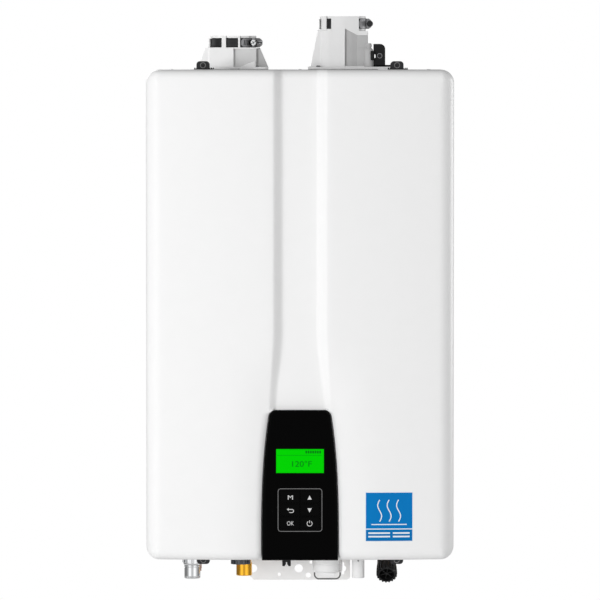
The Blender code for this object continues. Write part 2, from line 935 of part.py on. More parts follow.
def make_collar_gasket(name, x):
    bottom = case_top + touch_gap
    top = bottom + collar_gasket_thickness
    half = collar_base_half
    outline = rounded_outline(x - half, x + half, collar_y - half, collar_y + half, collar_corner)
    shape = loft((flat_ring(outline, bottom), flat_ring(outline, top)))
    gasket = object_from(name + "_gasket", shape, black_rubber)
    low = (x, collar_y, bottom - overrun)
    high = (x, collar_y, top + overrun)
    hole = cylinder_shape(duct_radius + fitting_hole_gap, low, high)
    cut(gasket, object_from(name + "_gasket_hole", hole, None))


def collar_tube(name, x, height):
    profile = ((collar_tube_radius, collar_base_z()), (collar_tube_radius, cabinet_top + height))
    return object_from(name, turned_shape(profile, (x, collar_y, 0), steps=28), None)


def make_intake_collar():
    x = intake_x
    base = collar_base_z()
    half = collar_base_half
    outline = rounded_outline(x - half, x + half, collar_y - half, collar_y + half, collar_corner)
    plate = loft((flat_ring(outline, base), flat_ring(outline, base + collar_base_thickness)))
    collar = object_from("intake_collar", plate, white_plastic)
    body_top = cabinet_top + intake_body_height
    body_half = collar_body_half
    start = base + touch_gap
    body = collar_box("intake_body", x - body_half, x + body_half, body_half, start, body_top)
    front = collar_y - body_half
    pieces = [body, collar_tube("intake_tube", x, intake_height)]
    back = front + gusset_thickness
    for side in (-1, 1):
        outline = gusset_outline(x + side * body_half, side, start, body_top * gusset_share)
        pieces.append(object_from("intake_gusset", prism_shape(outline, front, back), None))
    tab_top = cabinet_top + intake_height
    for share in intake_tab_shares:
        left = x + body_half * share - tab_width / 2
        tab_low = (left, front, start)
        tab_high = (left + tab_width, front + tab_thickness, tab_top)
        pieces.append(object_from("intake_tab", box_shape(tab_low, tab_high), None))
    join(collar, *pieces)
    recess_low = (x, front - overrun, cabinet_top + intake_recess_rise)
    recess_high = (x + body_half * intake_recess_share, front + recess_depth, body_top - tab_thickness)
    cut(collar, object_from("intake_recess", box_shape(recess_low, recess_high), None))
    low, high = finish_collar(collar, "intake", x, intake_height, intake_band_height)
    make_clamp("intake", x, low, high, intake_worm_angle)


def make_exhaust_collar():
    x = exhaust_x
    base = collar_base_z()
    half = collar_base_half
    right = x + half + exhaust_foot_reach
    outline = rounded_outline(x - half, right, collar_y - half, collar_y + half, collar_corner)
    plate = loft((flat_ring(outline, base), flat_ring(outline, base + collar_base_thickness)))
    collar = object_from("exhaust_collar", plate, white_plastic)
    start = base + touch_gap
    body_top = cabinet_top + exhaust_body_height
    body_left = x - exhaust_body_left
    body_right = x + exhaust_body_right
    body = collar_box("exhaust_body", body_left, body_right, collar_body_half, start, body_top)
    front = collar_y - collar_body_half
    column_low = (x - exhaust_column_half, front - exhaust_column_depth, start)
    column_high = (x + exhaust_column_half, front + tab_thickness, cabinet_top + exhaust_height)
    column = object_from("exhaust_column", box_shape(column_low, column_high), None)
    outline = gusset_outline(body_left, -1, start, body_top * gusset_share)
    gusset = object_from("exhaust_gusset", prism_shape(outline, front, front + gusset_thickness), None)
    join(collar, body, collar_tube("exhaust_tube", x, exhaust_height), column, gusset)
    recess_bottom = base + collar_base_thickness + tab_thickness
    recess_low = (x + exhaust_recess_left, front - exhaust_column_depth - overrun, recess_bottom)
    recess_high = (body_right - tab_thickness, front + recess_depth, body_top - tab_thickness)
    cut(collar, object_from("exhaust_recess", box_shape(recess_low, recess_high), None))
    low, high = finish_collar(collar, "exhaust", x, exhaust_height, exhaust_band_height)
    make_clamp("exhaust", x, low, high, exhaust_worm_angle)


# A band round the collar's tube, with a worm screw that tightens it.
def make_clamp(name, x, low, high, angle):
    inner = collar_tube_radius + touch_gap
    outer = inner + band_thickness
    profile = ((outer, low), (outer, high), (inner, high), (inner, low))
    shape = turned_shape(profile, (x, collar_y, 0), steps=28, closed=True)
    band = object_from(name + "_clamp_band", shape, zinc)
    outward = Vector((math.sin(angle), -math.cos(angle), 0))
    along = Vector((-math.cos(angle), -math.sin(angle), 0))
    middle_z = (low + high) / 2
    distance = outer + worm_depth / 2 - band_thickness / 2
    middle = Vector((x, collar_y, middle_z)) + outward * distance
    block = box_shape(
        (-worm_length / 2, -worm_depth / 2, -worm_height / 2),
        (worm_length / 2, worm_depth / 2, worm_height / 2),
        worm_edge,
    )
    turn = Matrix.Rotation(angle, 4, "Z")
    housing = object_from(name + "_worm_housing", block, None, middle)
    housing.rotation_euler = turn.to_euler()
    centre = middle + outward * band_thickness
    reach = worm_length / 2
    hole_reach = along * (reach + overrun)
    hole = cylinder_shape(worm_hole_radius, centre - hole_reach, centre + hole_reach)
    join(band, housing)
    cut(band, object_from(name + "_worm_hole", hole, None))
    head = reach + touch_gap
    profile = (
        (worm_screw_radius, -reach),
        (worm_screw_radius, head),
        (worm_head_radius, head),
        (worm_head_radius, head + worm_head_length),
    )
    object_from(name + "_clamp_screw", turned_shape(profile, direction=along, steps=12), zinc, centre)


def make_port():
    x = exhaust_x + port_x_offset
    y = collar_y - port_forward
    bottom = collar_base_z() + collar_base_thickness + touch_gap
    profile = [(port_radius * across, port_height * up) for across, up in port_shares]
    object_from("sampling_port", turned_shape(profile, steps=16), grey_plastic, (x, y, bottom))
    left = x + port_radius + touch_gap
    right = left + port_bracket_width
    top = bottom + port_bracket_height
    foot_top = bottom + port_bracket_thickness
    corner = collar_corner
    outline = [(left, bottom), (right + port_bracket_foot, bottom), (right + port_bracket_foot, foot_top)]
    outline.append((right, foot_top))
    for step in range(corner_steps + 1):
        angle = math.pi / 2 * step / corner_steps
        outline.append((right - corner * (1 - math.cos(angle)), top - corner * (1 - math.sin(angle))))
    outline.append((left, top))
    shape = prism_shape(outline, y - port_bracket_thickness, y + port_bracket_thickness)
    bracket = object_from("port_bracket", shape, black_plastic)
    hole_x = (left + right) / 2
    hole_z = (bottom + top) / 2
    start = (hole_x, y - port_bracket_thickness - overrun, hole_z)
    end = (hole_x, y + port_bracket_thickness + overrun, hole_z)
    cut(bracket, object_from("port_bracket_hole", cylinder_shape(port_bracket_hole, start, end, 12), None))


# A lever hinged on the case, whose front plate closes over the cover's edge.
def make_latch(name, x, side):
    surface = case_top if side > 0 else case_bottom
    cover_surface = cabinet_top if side > 0 else cabinet_bottom
    pivot_z = surface + side * (latch_barrel_height + touch_gap)
    pivot_y = cover_rim + latch_barrel_radius + touch_gap * 2
    half = latch_width / 2
    tip = cover_surface + side * latch_height - pivot_z
    foot = cover_surface + side * touch_gap - pivot_z
    front = -latch_forward - latch_barrel_radius
    corner = latch_corner
    outline = [(-half, foot), (half, foot)]
    for corner_x, start in ((half - corner, 0), (corner - half, 1)):
        for step in range(corner_steps + 1):
            angle = math.pi / 2 * (start + step / corner_steps)
            turn_z = tip + side * corner * (math.sin(angle) - 1)
            outline.append((corner_x + corner * math.cos(angle), turn_z))
    plate = prism_shape(outline, front, front + latch_plate)
    lever = object_from(name + "_lever", plate, black_plastic, (x, pivot_y, pivot_z))
    arm_half = half - latch_ear - latch_gap
    arm_low = (-arm_half, front + latch_plate / 2, min(0, side * latch_arm))
    arm_high = (arm_half, 0, max(0, side * latch_arm))
    arm = object_from(name + "_arm", box_shape(arm_low, arm_high), None, (x, pivot_y, pivot_z))
    barrel = cylinder_shape(latch_barrel_radius, (-arm_half, 0, 0), (arm_half, 0, 0), 16)
    barrel = object_from(name + "_barrel", barrel, None, (x, pivot_y, pivot_z))
    join(lever, arm, barrel)
    bore = cylinder_shape(latch_pin_radius + latch_gap, (-half, 0, 0), (half, 0, 0), 12)
    cut(lever, object_from(name + "_bore", bore, None, (x, pivot_y, pivot_z)))
    seat = surface + side * touch_gap
    base_top = seat + side * latch_base_thickness
    base_front = pivot_y - latch_barrel_radius
    ends = sorted((seat, base_top))
    base_low = (x - half, base_front, ends[0])
    base_high = (x + half, base_front + latch_base_length, ends[1])
    base = object_from(name + "_base", box_shape(base_low, base_high), black_plastic, smooth=False)
    ear_back = pivot_y + latch_barrel_radius
    ear_tip = pivot_z + side * (latch_barrel_radius + latch_ear_rise)
    ends = sorted((seat, ear_tip))
    for direction in (-1, 1):
        sides = sorted((x + direction * half, x + direction * (half - latch_ear)))
        ear_low = (sides[0], base_front, ends[0])
        ear_high = (sides[1], ear_back, ends[1])
        join(base, object_from(name + "_ear", box_shape(ear_low, ear_high), None))
    pin = cylinder_shape(latch_pin_radius, (x - half + touch_gap, pivot_y, pivot_z),
                         (x + half - touch_gap, pivot_y, pivot_z), 12)
    join(base, object_from(name + "_pin", pin, None))


def make_latches():
    for height, side in (("upper", 1), ("lower", -1)):
        for hand, x in (("left", -latch_x), ("right", latch_x)):
            make_latch(height + "_" + hand + "_latch", x, side)


def below(drop):
    return cabinet_bottom - drop


def flange_profile(pipe_radius_inside, flange_radius):
    seat = case_bottom - touch_gap
    return [
        (pipe_radius_inside, cabinet_bottom + fitting_inside),
        (pipe_radius_inside, seat),
        (flange_radius, seat),
        (flange_radius, seat - fitting_flange_thickness),
    ]


def make_hot_outlet():
    seat = case_bottom - touch_gap - fitting_flange_thickness
    profile = flange_profile(hot_nipple_radius, hot_flange_radius)
    profile += [
        (hot_collar_radius, seat),
        (hot_collar_radius, below(hot_collar_drop)),
        (hot_nipple_radius, below(hot_collar_drop)),
        (hot_nipple_radius, below(hot_drop)),
    ]
    place = (hot_x, -hot_distance, 0)
    object_from("hot_water_outlet", turned_shape(profile, place), chrome)
    seat_profile = flange_profile(recirculation_radius, recirculation_flange_radius)
    seat_profile += [(recirculation_radius, seat), (recirculation_radius, below(recirculation_drop))]
    place = (recirculation_x, -recirculation_distance, 0)
    object_from("recirculation_fitting", turned_shape(seat_profile, place), copper)


def make_gas_inlet():
    seat = case_bottom - touch_gap - fitting_flange_thickness
    profile = flange_profile(gas_pipe_radius, gas_flange_radius)
    profile += [
        (gas_pipe_radius, seat),
        (gas_pipe_radius, below(gas_drop) + gas_hex_rise),
    ]
    place = (gas_x, -gas_distance, 0)
    fitting = object_from("gas_inlet_fitting", turned_shape(profile, place), brass)
    top = below(gas_drop) + gas_hex_rise * gas_hex_share
    hexagon = turned_shape(((gas_hex_radius, below(gas_drop)), (gas_hex_radius, top)), place, steps=6)
    join(fitting, object_from("gas_hexagon", hexagon, None))
    outline = toothed_outline(drain_radius, drain_radius - drain_tooth, drain_teeth, tooth_share)
    rings = (flat_ring(outline, below(drain_drop)), flat_ring(outline, case_bottom - touch_gap))
    place = (drain_x, -drain_distance, 0)
    plug = object_from("drain_plug", loft(rings), black_plastic, place)
    inside = cabinet_bottom + fitting_inside
    stem = cylinder_shape(drain_stem_radius, (0, 0, below(drain_drop) + overrun), (0, 0, inside))
    join(plug, object_from("drain_stem", stem, None, place))


def filter_frame():
    along = Vector((0, -math.sin(filter_tilt), -math.cos(filter_tilt)))
    start_z = below(filter_start_drop)
    start = Vector((inlet_x, -inlet_distance - filter_forward, start_z))
    return start, along


def make_cold_inlet():
    low = (inlet_x, -inlet_distance, below(inlet_drop))
    high = (inlet_x, -inlet_distance, cabinet_bottom + inlet_rise)
    fitting = object_from("cold_water_inlet", cylinder_shape(inlet_radius, low, high), brass)
    low, high = inlet_slot(inlet_flange_margin)
    high.z = case_bottom - touch_gap
    low.z = high.z - fitting_flange_thickness
    join(fitting, object_from("inlet_flange", box_shape(low, high), None))
    start, along = filter_frame()
    back = start - along * (filter_forward / math.sin(filter_tilt))
    front = start + along * (filter_socket_depth - touch_gap)
    branch = cylinder_shape(inlet_branch_radius, back, front)
    join(fitting, object_from("filter_branch", branch, None))
    outline = toothed_outline(1, 1 - filter_rib_depth / filter_rim_radius, filter_ribs, tooth_share)
    turn = turn_matrix(along)
    levels = (
        (filter_neck_radius, 0),
        (filter_neck_radius, filter_length * filter_neck_share),
        (filter_rim_radius, filter_length),
    )
    rings = []
    for radius, height in levels:
        rings.append([turn @ Vector((radius * x, radius * y, height)) for x, y in outline])
    knob = object_from("filter_knob", loft(rings), black_plastic, start)
    socket = cylinder_shape(filter_bore_radius, -along * overrun, along * filter_socket_depth)
    hollow_start = along * (filter_length - filter_hollow_depth)
    hollow_radius = filter_rim_radius * filter_hollow_share
    hollow = cylinder_shape(hollow_radius, hollow_start, along * (filter_length + overrun))
    cut(knob, object_from("filter_socket", socket, None, start))
    cut(knob, object_from("filter_hollow", hollow, None, start))


def make_condensate():
    y = -outlet_distance
    seat = case_bottom - touch_gap - fitting_flange_thickness
    rise = cabinet_bottom + outlet_rise
    profile = flange_profile(outlet_radius, outlet_flange_radius)
    profile[0] = (outlet_radius, rise + outlet_radius)
    profile += [(outlet_radius, seat), (outlet_radius, below(outlet_drop))]
    outlet = object_from("condensate_outlet", turned_shape(profile, (outlet_x, y, 0)), white_plastic)
    elbow_start = (trap_x + trap_body_radius + touch_gap, y, rise)
    elbow = cylinder_shape(outlet_radius * elbow_share, elbow_start, (outlet_x, y, rise))
    join(outlet, object_from("condensate_elbow", elbow, None))
    cap_inner = trap_cap_drop - trap_cap_floor
    profile = (
        (trap_neck_radius, cabinet_bottom + secondary_bottom - touch_gap),
        (trap_neck_radius, cabinet_bottom + trap_body_rise),
        (trap_body_radius, cabinet_bottom + trap_body_rise - trap_neck_radius),
        (trap_body_radius, case_bottom - touch_gap),
        (trap_flange_radius, case_bottom - touch_gap),
        (trap_flange_radius, seat),
        (trap_body_radius, seat),
        (trap_body_radius, below(cap_inner) + touch_gap),
    )
    trap = object_from("condensate_trap", turned_shape(profile, (trap_x, y, 0), steps=24), white_plastic)
    for side in (-1, 1):
        start = (trap_x + side * (trap_body_radius + overrun), y, below(bail_axis_drop))
        end = (trap_x + side * (trap_body_radius - bail_seat_depth), y, below(bail_axis_drop))
        seat_hole = cylinder_shape(bail_wire_radius + touch_gap, start, end, 12)
        cut(trap, object_from("bail_seat", seat_hole, None))
    inner = trap_body_radius + touch_gap
    profile = (
        (inner, below(cap_inner)),
        (inner, below(trap_cap_top_drop)),
        (trap_cap_radius, below(trap_cap_top_drop)),
        (trap_cap_radius, below(trap_cap_drop - trap_cap_chamfer)),
        (trap_cap_radius - trap_cap_chamfer, below(trap_cap_drop)),
    )
    cap = object_from("trap_cap", turned_shape(profile, (trap_x, y, 0), steps=24), white_plastic)
    grip_low = (trap_x - trap_grip_half, y - trap_grip_depth, below(trap_grip_drop))
    grip_high = (trap_x + trap_grip_half, y + trap_grip_depth, below(trap_cap_drop) + trap_grip_edge * 2)
    join(cap, object_from("trap_grip", box_shape(grip_low, grip_high, trap_grip_edge), None))
    make_bail(y)


# A wire bail that swings under the trap's cap, with its ends seated in the trap's sides.
def make_bail(y):
    corner = math.hypot(trap_grip_depth, trap_grip_drop - bail_axis_drop)
    reach = corner + bail_gap + bail_wire_radius
    eye = trap_body_radius - bail_seat_depth + touch_gap
    points = [(-eye, 0), (-bail_half, 0)]
    for centre_x, start in ((bail_bend - bail_half, math.pi), (bail_half - bail_bend, math.pi * 1.5)):
        for step in range(corner_steps):
            angle = start + math.pi / 2 * step / (corner_steps - 1)
            x = centre_x + bail_bend * math.cos(angle)
            points.append((x, bail_bend - reach + bail_bend * math.sin(angle)))
    points += [(bail_half, 0), (eye, 0)]
    curve = bpy.data.curves.new("trap_bail", "CURVE")
    curve.dimensions = "3D"
    curve.bevel_depth = bail_wire_radius
    curve.bevel_resolution = 1
    curve.use_fill_caps = True
    line = curve.splines.new("POLY")
    line.points.add(len(points) - 1)
    for point, (x, z) in zip(line.points, points):
        point.co = (x, 0, z, 1)
    bail = bpy.data.objects.new("trap_bail", curve)
    bpy.context.collection.objects.link(bail)
    bail.location = (trap_x, y, below(bail_axis_drop))
    curve.materials.append(finish_material("trap_bail", *zinc))


def make_clip():
    half = clip_width / 2
    top = case_bottom - touch_gap
    low = (clip_x - half, -clip_distance - clip_length / 2, below(clip_drop))
    high = (clip_x + half, -clip_distance + clip_length / 2, top)
    clip = object_from("cord_clip", box_shape(low, high), black_plastic, smooth=False)
    margin = clip_base_margin
    base_low = (low[0] - margin, low[1] - margin, top - clip_base_thickness)
    base_high = (high[0] + margin, high[1] + margin, top)
    join(clip, object_from("clip_base", box_shape(base_low, base_high), None))
    start = (clip_x, low[1] - overrun, low[2])
    end = (clip_x, high[1] + overrun, low[2])
    cut(clip, object_from("clip_notch", cylinder_shape(clip_notch_radius, start, end, 16), None))


# A box with raised ribs across its front and back.
def ribbed_box(name, bottom, top, finish):
    low = (exchanger_left, -exchanger_front + exchanger_rib, cabinet_bottom + bottom)
    high = (exchanger_right, -exchanger_back, cabinet_bottom + top)
    box = object_from(name, box_shape(low, high), finish, smooth=False)
    pitch = (top - bottom) / exchanger_ribs
    for index in range(exchanger_ribs):
        z = cabinet_bottom + bottom + pitch * (index + 1 / 2)
        rib_low = (low[0] + exchanger_rib, -exchanger_front, z - exchanger_rib)
        rib_high = (high[0] - exchanger_rib, low[1] + exchanger_rib, z + exchanger_rib)
        join(box, object_from(name + "_rib", box_shape(rib_low, rib_high), None))
    return box


def make_heat_exchangers():
    ribbed_box("secondary_heat_exchanger", secondary_bottom, secondary_top - touch_gap, stainless)
    ribbed_box("primary_heat_exchanger", secondary_top, primary_top - touch_gap, copper)
    bottom = cabinet_bottom + primary_top
    top = cabinet_bottom + burner_top
    margin = burner_margin
    foot_outline = (
        (exchanger_left, -exchanger_front),
        (exchanger_right, -exchanger_front),
        (exchanger_right, -exchanger_back),
        (exchanger_left, -exchanger_back),
    )
    head_outline = (
        (exchanger_left, -exchanger_front + margin),
        (exchanger_right - margin * 3, -exchanger_front + margin),
        (exchanger_right - margin * 3, -exchanger_back - margin),
        (exchanger_left, -exchanger_back - margin),
    )
    rings = (
        flat_ring(foot_outline, bottom),
        flat_ring(foot_outline, bottom + margin),
        flat_ring(head_outline, top - fan_outlet_height),
        flat_ring(head_outline, top),
    )
    object_from("burner", loft(rings), cast_metal, smooth=False)


def make_ducts():
    ceiling = case_top
    bottom = cabinet_bottom + duct_foot_bottom
    foot_top = cabinet_bottom + duct_foot_top
    foot_low = (exhaust_x - duct_foot_half, -exchanger_back + touch_gap, bottom)
    foot_high = (exhaust_x + duct_foot_half, collar_y + duct_radius, foot_top)
    duct = object_from("exhaust_duct", box_shape(foot_low, foot_high), grey_plastic)
    start = (exhaust_x, collar_y, bottom + duct_wall)
    pipe = cylinder_shape(duct_radius, start, (exhaust_x, collar_y, ceiling))
    join(duct, object_from("exhaust_pipe", pipe, None))
    bore_start = (exhaust_x, collar_y, foot_top)
    bore = cylinder_shape(duct_radius - duct_wall, bore_start, (exhaust_x, collar_y, ceiling + overrun))
    cut(duct, object_from("exhaust_duct_bore", bore, None))
    middle = cabinet_bottom + fan_height
    start = (intake_x, collar_y, middle)
    pipe = cylinder_shape(intake_duct_radius, start, (intake_x, collar_y, ceiling))
    duct = object_from("intake_duct", pipe, grey_plastic)
    elbow_end = (intake_x, collar_y - fan_start_gap + touch_gap, middle)
    elbow_start = (intake_x, collar_y + intake_duct_radius, middle)
    elbow = cylinder_shape(intake_duct_radius, elbow_start, elbow_end)
    join(duct, object_from("intake_elbow", elbow, None))
    bore_start = (intake_x, collar_y, middle + intake_duct_radius)
    radius = intake_duct_radius - duct_wall
    bore = cylinder_shape(radius, bore_start, (intake_x, collar_y, ceiling + overrun))
    cut(duct, object_from("intake_duct_bore", bore, None))


def make_fan():
    middle = cabinet_bottom + fan_height
    back = collar_y - fan_start_gap
    place = (intake_x, back, middle)
    shape = turned_shape(((fan_radius, 0), (fan_radius, fan_depth)), place, (0, -1, 0), steps=24)
    housing = object_from("fan_housing", shape, cast_metal)
    inset = fan_outlet_inset
    top = middle + fan_radius - fan_wall
    outlet_low = (intake_x, back - fan_depth + inset, top - fan_outlet_height)
    outlet_high = (exchanger_left - touch_gap, back - inset, top)
    outlet = object_from("fan_outlet", box_shape(outlet_low, outlet_high), None)
    hollow_low = (intake_x + fan_wall, outlet_low[1] + fan_wall, outlet_low[2] + fan_wall)
    hollow_high = (outlet_high[0] + overrun, outlet_high[1] - fan_wall, outlet_high[2] - fan_wall)
    join(housing, outlet)
    inner = fan_radius - fan_wall
    bores = (
        ("fan_hollow", inner, fan_wall, fan_depth - fan_wall, 24),
        ("fan_inlet", fan_inlet_radius, -overrun, fan_wall + overrun, 24),
        ("fan_shaft_hole", fan_shaft_hole_radius, fan_depth - fan_wall - overrun, fan_depth + overrun, 16),
    )
    for name, radius, near, far, steps in bores:
        shape = turned_shape(((radius, near), (radius, far)), place, (0, -1, 0), steps=steps)
        cut(housing, object_from(name, shape, None))
    cut(housing, object_from("fan_outlet_hollow", box_shape(hollow_low, hollow_high), None))
    outline = toothed_outline(impeller_radius, impeller_root_radius, impeller_blades, impeller_blade_share)
    start = back - impeller_start
    rings = (ring_at(outline, 0), ring_at(outline, -impeller_depth))
    place = (intake_x, start, middle)
    impeller = object_from("fan_impeller", loft(rings), grey_plastic, place)
    motor_back = back - fan_depth - touch_gap
    shaft_end = motor_back - motor_socket_depth + touch_gap - start
    shaft = cylinder_shape(shaft_radius, (0, -overrun, 0), (0, shaft_end, 0), 16)
    join(impeller, object_from("fan_shaft", shaft, None, place))
    profile = (
        (motor_radius, 0),
        (motor_radius, motor_depth - motor_flange),
        (motor_boss_radius, motor_depth),
    )
    motor_place = (intake_x, motor_back, middle)
    motor = object_from("fan_motor", turned_shape(profile, motor_place, (0, -1, 0)), black_plastic)
    socket_end = (intake_x, motor_back - motor_socket_depth, middle)
    socket_start = (intake_x, motor_back + overrun, middle)
    socket = cylinder_shape(shaft_radius + touch_gap, socket_start, socket_end, 16)
    cut(motor, object_from("motor_socket", socket, None))


# A round pipe along straight runs, with a bend at each corner.
def make_pipe(name, points, radius, finish):
    path = [Vector(points[0])]
    for before, corner, after in zip(points, points[1:], points[2:]):
        corner = Vector(corner)
        back = Vector(before) - corner
        ahead = Vector(after) - corner
        bend = min(back.length, ahead.length) * bend_share
        start = corner + back.normalized() * bend
        end = corner + ahead.normalized() * bend
        for step in range(corner_steps + 1):
            share = step / corner_steps
            path.append(start * (1 - share) ** 2 + corner * 2 * share * (1 - share) + end * share ** 2)
    path.append(Vector(points[-1]))
    curve = bpy.data.curves.new(name, "CURVE")
    curve.dimensions = "3D"
    curve.bevel_depth = radius
    curve.bevel_resolution = pipe_sides
    curve.use_fill_caps = True
    line = curve.splines.new("POLY")
    line.points.add(len(path) - 1)
    for point, place in zip(line.points, path):
        point.co = (*place, 1)
    pipe = bpy.data.objects.new(name, curve)
    bpy.context.collection.objects.link(pipe)
    curve.materials.append(finish_material(name, *finish))


def make_water_side():
    start = cabinet_bottom + inlet_rise + touch_gap
    place = (inlet_x, -inlet_distance, start)
    profile = [(sensor_radius * across, sensor_height * up) for across, up in sensor_shares]
    object_from("flow_sensor", turned_shape(profile, place), black_plastic)
    cold_top = cabinet_bottom + cold_pipe_top
    cold_start = start + sensor_height + touch_gap
    back = touch_gap - exchanger_back
    cold_points = (
        (inlet_x, -inlet_distance, cold_start),
        (inlet_x, -inlet_distance, cold_top),
        (inlet_x, back, cold_top),
    )
    make_pipe("cold_water_pipe", cold_points, pipe_radius, copper)
    start = cabinet_bottom + fitting_inside + touch_gap
    hot_top = cabinet_bottom + hot_pipe_top
    entry_y = -exchanger_back - exchanger_depth * entry_share
    hot_points = (
        (hot_x, -hot_distance, start),
        (hot_x, -hot_distance, hot_top),
        (hot_x, entry_y, hot_top),
        (exchanger_left - touch_gap, entry_y, hot_top),
    )
    make_pipe("hot_water_pipe", hot_points, pipe_radius, copper)
    half = pump_width / 2
    depth = pump_depth / 2
    low = (recirculation_x - half, -recirculation_distance - depth, start)
    high = (recirculation_x + half, case_back - sheet - touch_gap, start + pump_height)
    pump = object_from("circulation_pump", box_shape(low, high, box_edge), cast_metal)
    motor_start = (recirculation_x, -recirculation_distance, start + pump_height - overrun)
    motor_end = (recirculation_x, -recirculation_distance, start + pump_height + pump_motor_length)
    join(pump, object_from("pump_motor", cylinder_shape(pump_motor_radius, motor_start, motor_end), None))
    slot_reach = pipe_radius * 2
    slot_low = (hot_x - slot_reach, low[1] - overrun, start - overrun)
    slot_high = (hot_x + slot_reach, pipe_radius * 2 - hot_distance, start + pump_height + overrun)
    if slot_high[1] > low[1]:
        cut(pump, object_from("pump_slot", box_shape(slot_low, slot_high), None))


def make_gas_side():
    y = -gas_distance
    bottom = cabinet_bottom + valve_bottom
    half = valve_width / 2
    depth = valve_depth / 2
    low = (gas_x - half, y - depth, bottom)
    high = (gas_x + half, y + depth, bottom + valve_height)
    valve = object_from("gas_valve", box_shape(low, high, box_edge), cast_metal)
    coil_z = bottom + valve_height / 2
    start = (gas_x, low[1] + overrun, coil_z)
    end = (gas_x, low[1] - valve_coil_length, coil_z)
    join(valve, object_from("valve_coil", cylinder_shape(valve_coil_radius, start, end), None))
    pipe_start = cabinet_bottom + fitting_inside + touch_gap
    lower = ((gas_x, y, pipe_start), (gas_x, y, bottom - touch_gap))
    make_pipe("gas_pipe", lower, gas_pipe_radius, brass)
    pipe_end = cabinet_bottom + fan_height - intake_duct_radius - touch_gap
    upper_x = intake_x
    upper = ((upper_x, collar_y, high[2] + touch_gap), (upper_x, collar_y, pipe_end))
    make_pipe("gas_feed_pipe", upper, gas_pipe_radius, brass)


def make_control_box():
    left = case_inset - half_width + sheet + control_left_gap
    low = (left, -exchanger_front, cabinet_bottom + control_bottom)
    high = (control_right, -exchanger_front + control_depth, cabinet_bottom + control_top)
    object_from("control_box", box_shape(low, high, control_edge), black_plastic)


def main():
    remove_everything()
    make_rear_case()
    make_cover_gasket()
    make_front_cover()
    make_panel_bezel()
    make_panel_inside()
    make_keypad()
    make_upper_bracket()
    make_lower_bracket()
    make_intake_collar()
    make_exhaust_collar()
    make_port()
    make_latches()
    make_hot_outlet()
    make_gas_inlet()
    make_cold_inlet()
    make_condensate()
    make_clip()
    make_heat_exchangers()
    make_ducts()
    make_fan()
    make_water_side()
    make_gas_side()
    make_control_box()


main()
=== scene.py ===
import json
import math

import bmesh
import bpy
from mathutils import Matrix, Vector


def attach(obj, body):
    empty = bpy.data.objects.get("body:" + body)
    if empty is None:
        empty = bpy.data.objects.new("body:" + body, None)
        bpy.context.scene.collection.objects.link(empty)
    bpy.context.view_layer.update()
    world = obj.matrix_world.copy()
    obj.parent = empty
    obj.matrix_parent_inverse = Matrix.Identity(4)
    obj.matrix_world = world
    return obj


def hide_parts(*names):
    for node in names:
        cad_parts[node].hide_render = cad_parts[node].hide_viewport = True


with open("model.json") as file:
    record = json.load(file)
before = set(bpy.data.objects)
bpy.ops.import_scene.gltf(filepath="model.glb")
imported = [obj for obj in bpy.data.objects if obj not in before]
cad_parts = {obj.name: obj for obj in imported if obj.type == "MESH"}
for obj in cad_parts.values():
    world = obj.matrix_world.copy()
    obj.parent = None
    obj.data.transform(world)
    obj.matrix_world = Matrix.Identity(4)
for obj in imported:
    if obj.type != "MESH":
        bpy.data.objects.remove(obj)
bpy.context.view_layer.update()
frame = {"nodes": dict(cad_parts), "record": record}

# The heater's outside, in metres, in the frame's own axes: X right, Y into the wall, Z up
cabinet = {"half": 0.22, "top": 0.07, "bottom": -0.63, "front": -0.336, "rim": -0.236, "corner": 0.019}
middleZ = (cabinet["top"] + cabinet["bottom"]) / 2
finishes = {}


# Shapes
def loft(rings, closed=False):
    shape = bmesh.new()
    rows = [[shape.verts.new(point) for point in ring] for ring in rings]
    pairs = list(zip(rows, rows[1:]))
    if closed:
        pairs.append((rows[-1], rows[0]))
    count = len(rows[0])
    for lower, upper in pairs:
        for index in range(count):
            after = (index + 1) % count
            shape.faces.new((lower[index], lower[after], upper[after], upper[index]))
    if not closed:
        shape.faces.new(rows[0][::-1])
        shape.faces.new(rows[-1])
    bmesh.ops.remove_doubles(shape, verts=shape.verts, dist=1e-6)
    bmesh.ops.recalc_face_normals(shape, faces=shape.faces)
    return shape


def softened(shape, width, steps=2, angle=30):
    limit = math.radians(angle)
    edges = [edge for edge in shape.edges if edge.is_manifold and edge.calc_face_angle() > limit]
    bmesh.ops.bevel(shape, geom=edges, offset=width, segments=steps, profile=0.5, affect="EDGES",
                    clamp_overlap=True)
    return shape


def block(low, high, edge=0.0, steps=2):
    shape = bmesh.new()
    bmesh.ops.create_cube(shape, size=1)
    for vert in shape.verts:
        vert.co = Vector([low[axis] if vert.co[axis] < 0 else high[axis] for axis in range(3)])
    return softened(shape, edge, steps) if edge else shape


def moved(shape, matrix):
    bmesh.ops.transform(shape, matrix=matrix, verts=shape.verts)
    return shape


def spin(x, y, angle, z=0.0):
    return Matrix.Translation((x, y, z)) @ Matrix.Rotation(angle, 4, "Z")


def aim(direction):
    return Vector((0, 0, 1)).rotation_difference(Vector(direction)).to_matrix().to_4x4()


def placed(shape, centre=(0, 0, 0), direction=(0, 0, 1)):
    return moved(shape, Matrix.Translation(centre) @ aim(direction))


def turned(profile, centre=(0, 0, 0), direction=(0, 0, 1), steps=48, closed=False):
    rings = []
    for radius, height in profile:
        ring = []
        for step in range(steps):
            angle = math.tau * step / steps
            ring.append((radius * math.cos(angle), radius * math.sin(angle), height))
        rings.append(ring)
    return placed(loft(rings, closed=closed), centre, direction)


def rod(start, end, radius, steps=32):
    along = Vector(end) - Vector(start)
    return turned(((radius, 0), (radius, along.length)), start, along, steps)


